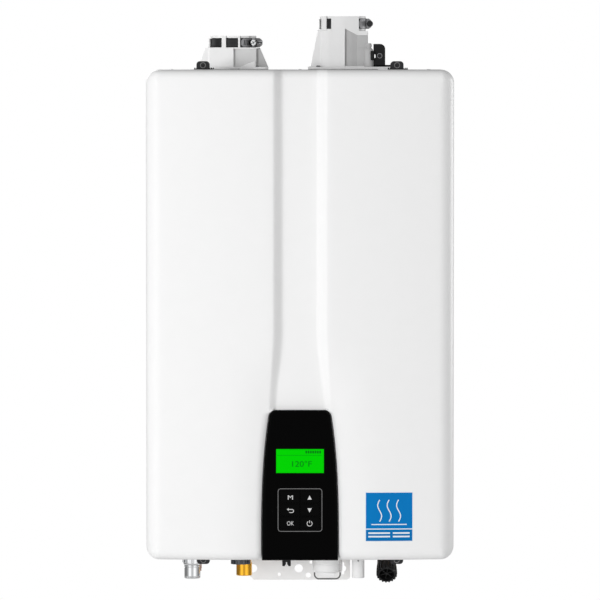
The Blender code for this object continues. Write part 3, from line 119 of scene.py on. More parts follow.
# Points of an arc around x and z, with its angles in degrees
def arc(x, z, radius, first, last, steps):
    points = []
    for step in range(steps + 1):
        angle = math.radians(first + (last - first) * step / steps)
        points.append((x + radius * math.cos(angle), z + radius * math.sin(angle)))
    return points


def roundedOutline(left, right, bottom, top, radius, steps=8):
    centres = (
        (right - radius, bottom + radius, -90), (right - radius, top - radius, 0),
        (left + radius, top - radius, 90), (left + radius, bottom + radius, 180),
    )
    points = []
    for x, z, start in centres:
        points += arc(x, z, radius, start, start + 90, steps)
    return points


def upright(outline, y):
    return [(x, y, z) for x, z in outline]


def level(outline, z):
    return [(x, y, z) for x, y in outline]


def slab(outline, front, back, edge=0.0, steps=2):
    shape = loft((upright(outline, front), upright(outline, back)))
    return softened(shape, edge, steps, 50) if edge else shape


def tray(outline, bottom, top, edge=0.0):
    shape = loft((level(outline, bottom), level(outline, top)))
    return softened(shape, edge, angle=50) if edge else shape


def tube(points, radius, steps=16):
    path = [Vector(point) for point in points]
    rings = []
    side = None
    for index, point in enumerate(path):
        before = path[max(index - 1, 0)]
        after = path[min(index + 1, len(path) - 1)]
        along = (after - before).normalized()
        if side is None:
            side = along.orthogonal().normalized()
        side = (side - along * side.dot(along)).normalized()
        up = along.cross(side)
        ring = []
        for step in range(steps):
            angle = math.tau * step / steps
            ring.append(point + side * radius * math.cos(angle) + up * radius * math.sin(angle))
        rings.append(ring)
    return loft(rings)


# A flat band along a path that lies in an upright plane
def ribbon(points, width, depth):
    path = [Vector(point) for point in points]
    rings = []
    for index, point in enumerate(path):
        along = (path[min(index + 1, len(path) - 1)] - path[max(index - 1, 0)]).normalized()
        across = Vector((along.z, 0, -along.x)) * width / 2
        out = Vector((0, depth / 2, 0))
        corners = ((1, 1), (-1, 1), (-1, -1), (1, -1))
        rings.append([point + across * side + out * face for side, face in corners])
    return loft(rings)


def together(*shapes):
    whole = bmesh.new()
    for shape in shapes:
        mesh = bpy.data.meshes.new("part")
        shape.to_mesh(mesh)
        shape.free()
        whole.from_mesh(mesh)
        bpy.data.meshes.remove(mesh)
    return whole


def spareObject(shape):
    mesh = bpy.data.meshes.new("spare")
    shape.to_mesh(mesh)
    shape.free()
    item = bpy.data.objects.new("spare", mesh)
    bpy.context.collection.objects.link(item)
    return item


def baked(item):
    view = bpy.context.evaluated_depsgraph_get()
    mesh = bpy.data.meshes.new_from_object(item.evaluated_get(view))
    shape = bmesh.new()
    shape.from_mesh(mesh)
    bpy.data.meshes.remove(mesh)
    return shape


def combined(shape, operation, tools):
    items = [spareObject(shape)]
    for tool in tools:
        items.append(spareObject(tool))
        change = items[0].modifiers.new("change", "BOOLEAN")
        change.operation = operation
        change.solver = "EXACT"
        change.object = items[-1]
    result = baked(items[0])
    for item in items:
        bpy.data.objects.remove(item)
    return result


def carved(shape, *tools):
    return combined(shape, "DIFFERENCE", tools)


def fused(shape, *tools):
    return combined(shape, "UNION", tools)


def thickened(shape, thickness):
    item = spareObject(shape)
    wall = item.modifiers.new("wall", "SOLIDIFY")
    wall.thickness = thickness
    wall.offset = -1
    wall.use_even_offset = True
    result = baked(item)
    bpy.data.objects.remove(item)
    return result


# Raised letters of the given width and height, with their middle at x and z
def lettering(text, width, height, x, y, z):
    curve = bpy.data.curves.new("letters", "FONT")
    curve.body = text
    curve.size = height
    curve.extrude = 0.0001  # half of what they stand out
    curve.resolution_u = 4
    item = bpy.data.objects.new("letters", curve)
    bpy.context.collection.objects.link(item)
    shape = baked(item)
    bpy.data.objects.remove(item)
    across = [vert.co.x for vert in shape.verts]
    up = [vert.co.y for vert in shape.verts]
    left, right, low, high = min(across), max(across), min(up), max(up)
    for vert in shape.verts:
        shareX = (vert.co.x - left) / (right - left) - 0.5
        shareZ = (vert.co.y - low) / (high - low) - 0.5
        vert.co = Vector((x + shareX * width, y - vert.co.z, z + shareZ * height))
    return shape


def addPiece(name, shape, finish, body="cabinet", stands=(), sharp=32, even=True):
    mesh = bpy.data.meshes.new(name)
    shape.to_mesh(mesh)
    shape.free()
    mesh.shade_smooth()
    mesh.set_sharp_from_angle(angle=math.radians(sharp))
    mesh.materials.clear()
    mesh.materials.append(finishes[finish])
    piece = bpy.data.objects.new(name, mesh)
    bpy.context.collection.objects.link(piece)
    if even:
        shade = piece.modifiers.new("evenShade", "WEIGHTED_NORMAL")
        shade.keep_sharp = True
    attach(piece, body)
    if stands:
        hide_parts(*stands)
    return piece


# Finishes
def grey(shade):
    return shade, shade, shade


def makeFinish(name, color, roughness, metallic=0.0, shift=0.02, grain=400.0, bump=0.1, depth=0.00005,
               stretch=(1, 1, 1), specular=0.5, glow=0.0, gloss=0.06):
    material = bpy.data.materials.new(name)
    material.use_nodes = True
    nodes = material.node_tree.nodes
    links = material.node_tree.links
    shader = nodes["Principled BSDF"]
    place = nodes.new("ShaderNodeTexCoord")
    scaling = nodes.new("ShaderNodeMapping")
    scaling.inputs["Scale"].default_value = stretch
    links.new(place.outputs["Object"], scaling.inputs["Vector"])
    patches = nodes.new("ShaderNodeTexNoise")
    patches.inputs["Scale"].default_value = grain / 20
    patches.inputs["Detail"].default_value = 3
    fine = nodes.new("ShaderNodeTexNoise")
    fine.inputs["Scale"].default_value = grain
    fine.inputs["Detail"].default_value = 2
    for noise in (patches, fine):
        links.new(scaling.outputs["Vector"], noise.inputs["Vector"])
    ramp = nodes.new("ShaderNodeValToRGB")
    low, high = ramp.color_ramp.elements
    low.position = 0.3
    high.position = 0.7
    low.color = [min(part * (1 - shift), 1) for part in color] + [1]
    high.color = [min(part * (1 + shift), 1) for part in color] + [1]
    links.new(patches.outputs["Fac"], ramp.inputs["Fac"])
    links.new(ramp.outputs["Color"], shader.inputs["Base Color"])
    spread = nodes.new("ShaderNodeMapRange")
    spread.inputs["To Min"].default_value = max(roughness - gloss, 0.02)
    spread.inputs["To Max"].default_value = roughness + gloss
    links.new(fine.outputs["Fac"], spread.inputs["Value"])
    links.new(spread.outputs["Result"], shader.inputs["Roughness"])
    relief = nodes.new("ShaderNodeBump")
    relief.inputs["Strength"].default_value = bump
    relief.inputs["Distance"].default_value = depth
    links.new(fine.outputs["Fac"], relief.inputs["Height"])
    links.new(relief.outputs["Normal"], shader.inputs["Normal"])
    shader.inputs["Metallic"].default_value = metallic
    shader.inputs["Specular IOR Level"].default_value = specular
    if glow:
        links.new(ramp.outputs["Color"], shader.inputs["Emission Color"])
        shader.inputs["Emission Strength"].default_value = glow
    finishes[name] = material


finishLooks = {
    "whitePaint": dict(color=grey(0.87), roughness=0.36, shift=0.004, grain=900, bump=0.12, depth=0.00003,
                       specular=0.3),
    "casePaint": dict(color=grey(0.82), roughness=0.42, shift=0.006, grain=900, bump=0.15, depth=0.00003,
                      specular=0.3),
    "greyPaint": dict(color=grey(0.83), roughness=0.45, shift=0.01, grain=800, bump=0.15, depth=0.00004),
    "panelBlack": dict(color=grey(0.001), roughness=0.25, shift=0.05, grain=300, bump=0.02, specular=0.03,
                       gloss=0.02),
    "keyBlack": dict(color=grey(0.0015), roughness=0.3, shift=0.05, grain=300, bump=0.02, specular=0.04,
                     gloss=0.02),
    "displayGreen": dict(color=(0.0004, 0.30, 0.0004), roughness=0.35, shift=0.03, grain=200, bump=0.0,
                         specular=0.02, glow=1.1),
    "displayDark": dict(color=(0.0004, 0.10, 0.003), roughness=0.4, shift=0.05, grain=200, specular=0.05,
                        glow=0.8),
    "markWhite": dict(color=grey(0.62), roughness=0.4, shift=0.02, grain=300, specular=0.2),
    "outlineGrey": dict(color=grey(0.15), roughness=0.4, shift=0.05, grain=300, specular=0.3),
    "boardGreen": dict(color=(0.02, 0.2, 0.08), roughness=0.5, shift=0.2, grain=200),
    "rubberBlack": dict(color=grey(0.02), roughness=0.8, shift=0.15, grain=500, bump=0.4),
    "plasticBlack": dict(color=(0.006, 0.006, 0.0065), roughness=0.42, shift=0.15, grain=900, bump=0.3,
                         depth=0.00008, specular=0.3),
    "plasticWhite": dict(color=grey(0.84), roughness=0.42, shift=0.012, grain=600, bump=0.15, specular=0.3),
    # a whiter copy of plasticWhite: painted light on the intake collar
    "collarWhitePaintedLight": dict(color=grey(0.93), roughness=0.42, shift=0.012, grain=600, bump=0.15, specular=0.3),
    # grey plastic: painted shade in the collar recesses and on the set-back gusset
    "collarPaintedShade": dict(color=grey(0.52), roughness=0.5, shift=0.015, grain=600, bump=0.15, specular=0.2),
    # a lighter grey: painted shade in the intake collar's recess
    "collarPaintedDimShade": dict(color=grey(0.66), roughness=0.5, shift=0.015, grain=600, bump=0.15, specular=0.2),
    "plasticGrey": dict(color=grey(0.50), roughness=0.45, shift=0.03, grain=600, bump=0.2, specular=0.3),
    "leverBlack": dict(color=(0.022, 0.022, 0.024), roughness=0.4, shift=0.1, grain=900, bump=0.25,
                       depth=0.00006, specular=0.3),
    "plugGrey": dict(color=(0.040, 0.046, 0.056), roughness=0.24, shift=0.08, grain=900, bump=0.1,
                     depth=0.00005, specular=0.9),
    "coatedWire": dict(color=grey(0.80), roughness=0.35, shift=0.02, grain=500, bump=0.1, specular=0.4),
    "wireGrip": dict(color=grey(0.13), roughness=0.4, shift=0.1, grain=500, bump=0.2),
    "clampGrey": dict(color=(0.30, 0.30, 0.31), roughness=0.36, metallic=1.0, shift=0.1, grain=500,
                      bump=0.2),
    "clampPale": dict(color=(0.34, 0.34, 0.35), roughness=0.5, metallic=0.2, shift=0.08, grain=500,
                      bump=0.2, specular=0.3),
    "ringGrey": dict(color=grey(0.22), roughness=0.5, metallic=0.3, shift=0.1, grain=500, bump=0.2),
    "zincPlate": dict(color=(0.55, 0.56, 0.57), roughness=0.28, metallic=1.0, shift=0.06, grain=500,
                      bump=0.15, stretch=(1, 1, 4)),
    # steel made near black: painted dark reflection and shade on the clamp bands and screws
    "bandSteelPaintedShade": dict(color=(0.055, 0.056, 0.058), roughness=0.36, metallic=1.0, shift=0.1, grain=500,
                      bump=0.2, stretch=(1, 1, 6)),
    "chromePlate": dict(color=(0.78, 0.79, 0.80), roughness=0.10, metallic=1.0, shift=0.03, grain=300,
                        bump=0.04, gloss=0.03),
    "brassMetal": dict(color=(0.98, 0.50, 0.045), roughness=0.15, metallic=1.0, shift=0.06, grain=400,
                       bump=0.06, stretch=(1, 1, 5), gloss=0.04),
    "copperMetal": dict(color=(0.72, 0.36, 0.22), roughness=0.32, metallic=1.0, shift=0.12, grain=300,
                        bump=0.1),
    "stainlessSteel": dict(color=(0.60, 0.60, 0.61), roughness=0.32, metallic=1.0, shift=0.05, grain=500,
                           stretch=(6, 1, 1)),
    "castMetal": dict(color=(0.52, 0.53, 0.54), roughness=0.5, metallic=1.0, shift=0.08, grain=600,
                      bump=0.5, depth=0.0002),
    "stickerBlue": dict(color=(0.002, 0.18, 0.50), roughness=0.4, shift=0.02, grain=200, bump=0.03,
                        specular=0.08),
    "stickerBand": dict(color=(0.002, 0.16, 0.44), roughness=0.4, shift=0.02, grain=200, bump=0.03,
                        specular=0.08),
    "stickerWhite": dict(color=(0.78, 0.82, 0.86), roughness=0.4, shift=0.01, grain=200, bump=0.03,
                         specular=0.3),
    "screwDark": dict(color=(0.10, 0.10, 0.105), roughness=0.32, metallic=0.9, shift=0.1, grain=500),
    # bright metal: a painted highlight on the intake clamp screw's head
    "paintedHighlightMetal": dict(color=(0.85, 0.86, 0.87), roughness=0.35, metallic=0.6, shift=0.03, grain=500),
    "floorPale": dict(color=grey(0.80), roughness=0.7, shift=0.01, grain=20, bump=0.05, specular=0.2),
}
for name, look in finishLooks.items():
    makeFinish(name, **look)
slotFinishes = {
    "white_paint": "casePaint", "light_grey_paint": "greyPaint", "gloss_black": "panelBlack",
    "green_window": "displayGreen", "circuit_board": "boardGreen", "black_rubber": "rubberBlack",
    "black_plastic": "plasticBlack", "white_plastic": "plasticWhite", "grey_plastic": "plasticGrey",
    "zinc": "zincPlate", "chrome": "chromePlate", "brass": "brassMetal", "copper": "copperMetal",
    "stainless": "stainlessSteel", "cast_metal": "castMetal",
}
for entry in frame["record"]["subparts"]:
    mesh = frame["nodes"][entry["node"]].data
    mesh.materials.clear()
    mesh.materials.append(finishes[slotFinishes[entry["material_slot"]]])
print("finishes made")


# Front cover, with its channel and the pocket for the panel
cover = {
    "bow": 0.014, "side": 0.022, "end": 0.0125, "lowEnd": 0.0145, "wall": 0.0015,
    "edge": 0.040, "floor": 0.0228, "depth": 0.012,  # half widths and depth of the channel
    "flare": 0.115, "flareEdge": 0.046, "flareFloor": 0.0325,  # how it widens above the panel
    "pocketWall": 0.0008, "pocketGap": 0.0006, "shoulder": 0.0062, "shoulderWidth": 0.060,
}
panel = {
    "bottom": -0.6296, "height": 0.2149, "half": 0.0543, "narrowing": 0.012, "corner": 0.010,
    "front": -0.335, "back": -0.3243, "round": 0.004,
}
panel["top"] = panel["bottom"] + panel["height"]


def smoothStep(value):
    value = min(max(value, 0), 1)
    return value * value * (3 - 2 * value)


def panelHalf(z):
    share = min(max((z - panel["bottom"]) / panel["height"], 0), 1)
    return panel["half"] - panel["narrowing"] * share ** 3


def panelEdge(z):
    start = panel["top"] - panel["corner"]
    if z <= start:
        return panelHalf(z)
    rise = min(z - start, panel["corner"])
    return panelHalf(z) - panel["corner"] + math.sqrt(panel["corner"] ** 2 - rise ** 2)


# Half widths of the channel's floor and of its edge at a height
def channelAt(z):
    if z <= panel["top"]:
        floor = panelEdge(z - cover["pocketGap"]) + cover["pocketGap"]
        return floor, floor + cover["pocketWall"]
    flare = 1 - smoothStep((z - panel["top"]) / cover["flare"])
    floor = cover["floor"] + (cover["flareFloor"] - cover["floor"]) * flare
    return floor, cover["edge"] + (cover["flareEdge"] - cover["edge"]) * flare


def roundDrop(inside, radius):
    share = 1 - min(max(inside / radius, 0), 1)
    return radius * (1 - math.sqrt(1 - share ** 2))


def edgeDrop(x, z):
    corner = cabinet["corner"]
    across = cabinet["half"] - abs(x)
    up = (cabinet["top"] - cabinet["bottom"]) / 2 - abs(z - middleZ)
    end = cover["end"] if z > middleZ else cover["lowEnd"]
    if across < corner and up < corner:
        reach = math.hypot(corner - across, corner - up)
        weight = (corner - across) / max(reach, 1e-4)
        return roundDrop(max(corner - reach, 0), end + (cover["side"] - end) * weight ** 2)
    return max(roundDrop(across, cover["side"]), roundDrop(up, end))


def coverY(x, z):
    floor, edge = channelAt(z)
    dip = smoothStep((edge - abs(x)) / (edge - floor))
    bow = cover["bow"] * (x / cabinet["half"]) ** 2
    inner = max(edge, cover["flareEdge"]) if z <= panel["top"] else edge
    near = max(1 - max(abs(x) - inner, 0) / cover["shoulderWidth"], 0) ** 2
    fade = 1 - smoothStep((z - panel["top"]) / cover["flare"])
    sink = cover["shoulder"] * near * fade * (1 - dip)
    return cabinet["front"] + bow + sink + cover["depth"] * dip + edgeDrop(x, z)


def coverRows():
    corner = cabinet["corner"]
    rises = [corner * (1 - math.cos(math.pi / 2 * step / 16)) for step in range(17)]
    rows = [cabinet["bottom"] + rise for rise in rises]
    start = rows[-1]
    end = panel["top"] - panel["corner"]
    rows += [start + (end - start) * step / 40 for step in range(1, 41)]
    turns = [math.pi / 2 * step / 10 for step in range(1, 11)]
    rows += [end + panel["corner"] * math.sin(turn) for turn in turns]
    rows.append(panel["top"] + 0.0003)
    rows += [panel["top"] + cover["flare"] * step / 24 for step in range(1, 25)]
    start = rows[-1]
    end = cabinet["top"] - corner
    rows += [start + (end - start) * step / 14 for step in range(1, 14)]
    return rows + [cabinet["top"] - rise for rise in reversed(rises)]


def coverColumns(z):
    corner = cabinet["corner"]
    floor, edge = channelAt(z)
    up = min(z - cabinet["bottom"], cabinet["top"] - z)
    inset = corner - math.sqrt(max(corner ** 2 - (corner - up) ** 2, 0)) if up < corner else 0
    limit = cabinet["half"] - inset
    last = limit - cover["side"]
    columns = [floor * step / 4 for step in range(5)]
    columns += [floor + (edge - floor) * step / 12 for step in range(1, 13)]
    columns += [edge + (last - edge) * step / 16 for step in range(1, 17)]
    columns += [last + cover["side"] * math.sin(math.pi / 2 * step / 14) for step in range(1, 15)]
    return [-x for x in reversed(columns[1:])] + columns


def makeCover():
    shape = bmesh.new()
    grid = [[shape.verts.new((x, coverY(x, z), z)) for x in coverColumns(z)] for z in coverRows()]
    for lower, upper in zip(grid, grid[1:]):
        for index in range(len(lower) - 1):
            shape.faces.new((lower[index], lower[index + 1], upper[index + 1], upper[index]))
    border = [edge for edge in shape.edges if edge.is_boundary]
    skirt = bmesh.ops.extrude_edge_only(shape, edges=border)
    for item in skirt["geom"]:
        if isinstance(item, bmesh.types.BMVert):
            item.co.y = cabinet["rim"]
    shape = thickened(shape, cover["wall"])
    addPiece("frontCover", shape, "whitePaint", stands=["front_cover"], sharp=60, even=False)


makeCover()
print("cover made")


# Screw heads
def crossScrew(centre, direction, radius, height, turn=0.0):
    profile = (
        (0, height), (radius * 0.55, height), (radius * 0.85, height * 0.8), (radius, height * 0.35),
        (radius, 0), (0, 0),
    )
    head = turned(profile, steps=28)
    reach = radius * 0.62
    half = radius * 0.15
    tools = []
    for across, up in ((reach, half), (half, reach)):
        tool = block((-across, -up, height * 0.3), (across, up, height * 1.5))
        tools.append(moved(tool, Matrix.Rotation(turn, 4, "Z")))
    return placed(carved(head, *tools), centre, direction)


# Rear case
case = {
    "half": 0.2178, "top": 0.0678, "bottom": -0.6278, "corner": 0.0168, "front": -0.244, "back": -0.010,
    "sheet": 0.0012, "flange": 0.012, "duct": 0.0315,
    "ribs": (-0.15, -0.05, 0.05, 0.15), "ribHalf": 0.008, "ribLow": -0.56, "ribHigh": -0.06,
    "ribProud": 0.0012,
    "screw": 0.0036, "screwHead": 0.0016, "screwY": -0.022,
    "sideScrews": (-0.58, -0.40, -0.16, 0.02), "endScrews": (-0.19, 0.0, 0.19),
    "seamFront": -0.0345, "seamBack": -0.0125, "seamProud": 0.0006, "seamEnd": 0.02,
}
fittings = {
    "hot": {"x": -0.15785, "y": -0.110, "hole": 0.0130},
    "recirculation": {"x": -0.156508, "y": -0.055, "hole": 0.0130},
    "gas": {"x": -0.082302, "y": -0.070, "hole": 0.0105},
    "drain": {"x": -0.086592, "y": -0.145, "hole": 0.0065},
    "outlet": {"x": 0.084898, "y": -0.150, "hole": 0.0100},
    "trap": {"x": 0.039908, "y": -0.150, "hole": 0.0178},
    "inlet": {"x": 0.126808, "y": -0.075, "hole": 0.0123},
}
intake = {"x": -0.097394, "y": -0.09, "base": 0.0699, "top": 0.1185}
exhaust = {"x": 0.0627, "y": -0.09, "base": 0.0699, "top": 0.1470}


def caseOutline(inset):
    side = case["half"] - inset
    corner = case["corner"] - inset / 2
    return roundedOutline(-side, side, case["bottom"] + inset, case["top"] - inset, corner)


def makeCase():
    back = case["back"]
    front = case["front"]
    sheet = case["sheet"]
    steps = (
        (0.0022, back), (0.0007, back - 0.0006), (0, back - 0.0022), (0, front), (case["flange"], front),
        (case["flange"], front + sheet), (sheet, front + sheet), (sheet, back - sheet),
    )
    shape = loft([upright(caseOutline(inset), y) for inset, y in steps])
    ribs = []
    wide = case["ribHalf"]
    for x in case["ribs"]:
        outline = roundedOutline(x - wide, x + wide, case["ribLow"], case["ribHigh"], wide - 0.0001)
        ribs.append(slab(outline, back - 0.001, back + case["ribProud"], 0.0008))
    shape = fused(shape, *ribs)
    tools = []
    for place in (intake, exhaust):
        tools.append(rod((place["x"], place["y"], 0.06), (place["x"], place["y"], 0.075), case["duct"], 48))
    below = -0.635  # start and end of the cuts through the bottom
    above = -0.62
    for place in fittings.values():
        tools.append(rod((place["x"], place["y"], below), (place["x"], place["y"], above), place["hole"],
                         40))
    slot = fittings["inlet"]
    hole = slot["hole"]
    tools.append(block((slot["x"] - hole, -0.115, below), (slot["x"] + hole, slot["y"], above)))
    shape = carved(shape, *tools)
    addPiece("rearCase", shape, "casePaint", stands=["rear_case"], sharp=40)
    y = case["screwY"]
    size = (case["screw"], case["screwHead"])
    screws = []
    for side in (-1, 1):
        for z in case["sideScrews"]:
            screws.append(crossScrew((side * case["half"], y, z), (side, 0, 0), *size, 0.6))
    for x in case["endScrews"]:
        screws.append(crossScrew((x, y, case["top"]), (0, 0, 1), *size, 0.3))
        screws.append(crossScrew((x, y, case["bottom"]), (0, 0, -1), *size, 0.9))
    addPiece("caseScrews", together(*screws), "zincPlate")
    seams = []
    for side in (-1, 1):
        x = side * case["half"]
        proud = x + side * case["seamProud"]
        low = (min(x, proud), case["seamFront"], case["bottom"] + case["seamEnd"])
        high = (max(x, proud), case["seamBack"], case["top"] - case["seamEnd"])
        seams.append(block(low, high, 0.0004, 1))
    addPiece("caseSeams", together(*seams), "casePaint")


makeCase()
print("case made")


# Wall brackets
upperBracket = {
    "half": 0.15, "rise": 0.025, "hook": 0.011, "sheet": 0.002,
    "keyholes": (-0.1, 0.1), "keyholeZ": -0.004, "keyholeTop": 0.008, "keyholeRadius": 0.0045,
    "keyholeHalf": 0.0022, "holes": (-0.05, 0.0, 0.05), "holeZ": -0.012, "holeRadius": 0.003,
}
lowerBracket = {
    "half": 0.0745, "bottom": -0.689, "step": -0.636, "top": -0.604, "sheet": 0.002, "corner": 0.006,
    "holes": (
        (-0.00194, -0.67207, 0.0062), (-0.06988, -0.67207, 0.0062), (-0.03084, -0.68092, 0.00242),
        (0.01222, -0.6821, 0.00378), (0.01654, -0.66263, 0.00248), (0.06392, -0.67207, 0.00471),
    ),
    "slot": (0.06212, 0.06572, -0.68157, -0.66257),
}


def makeUpperBracket():
    sheet = upperBracket["sheet"]
    rise = upperBracket["rise"]
    hook = upperBracket["hook"]
    half = upperBracket["half"]
    front = case["back"] + 0.0003
    profile = [
        (0, -rise), (0, rise - 0.0015), (-0.0007, rise - 0.0004), (-0.0018, rise), (front + 0.0012, rise),
        (front + 0.0003, rise - 0.0005), (front, rise - 0.0014), (front, hook), (front + sheet, hook),
        (front + sheet, rise - 0.0025), (front + sheet + 0.0004, rise - 0.002),
        (-sheet - 0.0004, rise - 0.002),
        (-sheet, rise - 0.0025), (-sheet, -rise),
    ]
    shape = loft([[(x, y, z) for y, z in profile] for x in (-half, half)])
    back = 0.004  # start and end of the cuts through the plate
    ahead = -0.006
    tools = []
    z = upperBracket["keyholeZ"]
    side = upperBracket["keyholeHalf"]
    for x in upperBracket["keyholes"]:
        tools.append(rod((x, back, z), (x, ahead, z), upperBracket["keyholeRadius"]))
        tools.append(block((x - side, ahead, z), (x + side, back, upperBracket["keyholeTop"])))
    z = upperBracket["holeZ"]
    for x in upperBracket["holes"]:
        tools.append(rod((x, back, z), (x, ahead, z), upperBracket["holeRadius"]))
    addPiece("upperBracket", carved(shape, *tools), "zincPlate", stands=["upper_wall_bracket"])


def makeLowerBracket():
    half = lowerBracket["half"]
    low = lowerBracket["bottom"]
    step = lowerBracket["step"]
    sheet = lowerBracket["sheet"]
    corner = lowerBracket["corner"]
    top = lowerBracket["top"]
    bend = 0.0012
    front = case["back"] + 0.0003
    profile = [
        (0, low), (0, step - bend), (-0.0004, step - 0.0004), (-bend, step), (front + sheet + 0.0006, step),
        (front + sheet, step + 0.0006), (front + sheet, top), (front, top), (front, step - sheet + bend),
        (front + 0.0004, step - sheet + 0.0004), (front + bend, step - sheet),
        (-sheet - 0.0006, step - sheet),
        (-sheet, step - sheet - 0.0006), (-sheet, low),
    ]
    shape = loft([[(x, y, z) for y, z in profile] for x in (-half, half)])
    over = 0.004  # how far the cuts reach past the plate
    ahead = -0.006
    left = -half - over
    chamfer = [(left, low - over), (corner + over - half, low - over), (left, low + corner + over)]
    tools = [slab(chamfer, ahead, over)]
    turn = [(half + over, low - over), (half + over, low + corner)]
    turn += arc(half - corner, low + corner, corner, 0, -90, 8)
    turn.append((half - corner, low - over))
    tools.append(slab(turn, ahead, over))
    for x, z, radius in lowerBracket["holes"]:
        tools.append(rod((x, over, z), (x, ahead, z), radius, 40))
    tools.append(slab(roundedOutline(*lowerBracket["slot"], 0.00175), ahead, over))
    shape = carved(shape, *tools)
    addPiece("lowerBracket", shape, "greyPaint", stands=["lower_wall_bracket"])


makeUpperBracket()
makeLowerBracket()
print("brackets made")


# Control panel
window = {
    "half": 0.034, "rise": 0.017, "z": -0.4873, "sink": 0.0004,
    "digitsWidth": 0.0280, "digitsHeight": 0.0085, "digitsX": 0.0027, "digitsZ": -0.4912,
    "lineLeft": -0.0327, "lineRight": 0.0307, "lineZ": -0.4791, "lineHalf": 0.0002,
    "bars": 7, "barsLeft": 0.0078, "barsLow": -0.4763, "barsHigh": -0.4726, "barPitch": 0.0033,
    "barWidth": 0.0022,
}
keypad = {
    "half": 0.0318, "rise": 0.03095, "z": -0.5573, "pitchX": 0.0286, "pitchZ": 0.0185, "corner": 0.0045,
    "rim": 0.0010, "gap": 0.0003, "keyHalf": 0.0133, "keyRise": 0.00825, "keyDepth": 0.0068, "signX": 0.0137,
}
keySigns = {
    "menu": ("M", 0.0072, 0.0062), "enter": ("OK", 0.0098, 0.0060),  # text, width and height
    "arrowHalf": 0.0031, "backTurn": 0.0022, "backLine": 0.0010, "powerTurn": 0.0036, "powerLine": 0.0009,
    "thickness": 0.0002,
}


def panelOutline(inset):
    bottom = panel["bottom"] + inset
    straight = panel["height"] - panel["corner"]
    heights = [bottom] + [panel["bottom"] + straight * share / 16 for share in range(1, 16)]
    right = [(panelHalf(z) - inset, z) for z in heights]
    z = panel["top"] - panel["corner"]
    right += arc(panelHalf(z) - panel["corner"], z, panel["corner"] - inset, 0, 90, 10)
    return right + [(-x, z) for x, z in reversed(right)]


def keypadOutline(inset):
    side = keypad["half"] - inset
    low = keypad["z"] - keypad["rise"] + inset
    high = keypad["z"] + keypad["rise"] - inset
    return roundedOutline(-side, side, low, high, keypad["corner"] - inset)


def keyOutline(x, z, inset, radius):
    side = keypad["keyHalf"] - inset
    rise = keypad["keyRise"] - inset
    return roundedOutline(x - side, x + side, z - rise, z + rise, radius, 4)


def makePanel():
    rings = [upright(panelOutline(0), panel["back"])]
    for step in range(9):
        angle = math.pi / 2 * step / 8
        inset = panel["round"] * (1 - math.cos(angle))
        rings.append(upright(panelOutline(inset), panel["front"] + panel["round"] * (1 - math.sin(angle))))
    front = panel["front"]
    side = window["half"] + 0.0002
    rise = window["rise"] + 0.0002
    glass = block((-side, front - 0.002, window["z"] - rise), (side, front + 0.003, window["z"] + rise))
    pad = slab(keypadOutline(0), front - 0.002, front + 0.003)
    shape = carved(loft(rings), glass, pad)
    addPiece("panelBezel", shape, "panelBlack", stands=["panel_bezel"], sharp=30)
    y = front + window["sink"]
    low = window["z"] - window["rise"]
    high = window["z"] + window["rise"]
    pane = block((-window["half"], y, low), (window["half"], y + 0.0018, high), 0.0002, 1)
    addPiece("displayWindow", pane, "displayGreen", stands=["display_window"])
    size = (window["digitsWidth"], window["digitsHeight"])
    marks = [lettering("120°F", *size, window["digitsX"], y - 0.0001, window["digitsZ"])]
    proud = y - 0.0002
    z = window["lineZ"]
    half = window["lineHalf"]
    marks.append(block((window["lineLeft"], proud, z - half), (window["lineRight"], y, z + half)))
    for index in range(window["bars"]):
        x = window["barsLeft"] + index * window["barPitch"]
        marks.append(block((x, proud, window["barsLow"]), (x + window["barWidth"], y, window["barsHigh"])))
    addPiece("displayDigits", together(*marks), "displayDark")


def makeKeypad():
    front = panel["front"]
    plate = slab(keypadOutline(0.0002), front + 0.0001, front + 0.0024)
    spots = []
    for row in range(3):
        for column in range(2):
            spots.append((keypad["pitchX"] * (column - 0.5), keypad["z"] + keypad["pitchZ"] * (1 - row)))
    tools = [slab(keyOutline(x, z, -keypad["gap"], 0.001), front - 0.002, front + 0.005) for x, z in spots]
    plate = carved(plate, *tools)
    addPiece("keypadPlate", plate, "keyBlack", stands=["keypad_frame"])
    rims = []
    for inset, y in ((0, -0.0003), (0, 0.0005), (keypad["rim"], 0.0005), (keypad["rim"], -0.0003)):
        rims.append(upright(keypadOutline(inset), front + y))
    addPiece("keypadOutline", loft(rims, closed=True), "outlineGrey")
    names = ("menu_key", "up_key", "back_key", "down_key", "enter_key", "power_key")
    for (x, z), name in zip(spots, names):
        cap = slab(keyOutline(x, z, 0, 0.0008), front, front + keypad["keyDepth"])
        edges = [edge for edge in cap.edges if all(vert.co.y < front + 1e-5 for vert in edge.verts)]
        bmesh.ops.bevel(cap, geom=edges, offset=0.0003, segments=3, profile=0.5, affect="EDGES")
        word = name.split("_")[0]
        addPiece(word + "Key", cap, "keyBlack", body=name, stands=[name])
        mark = keyMark(word, math.copysign(keypad["signX"], x), front - 0.0001, z - 0.0005)
        addPiece(word + "Mark", mark, "markWhite", body=name)


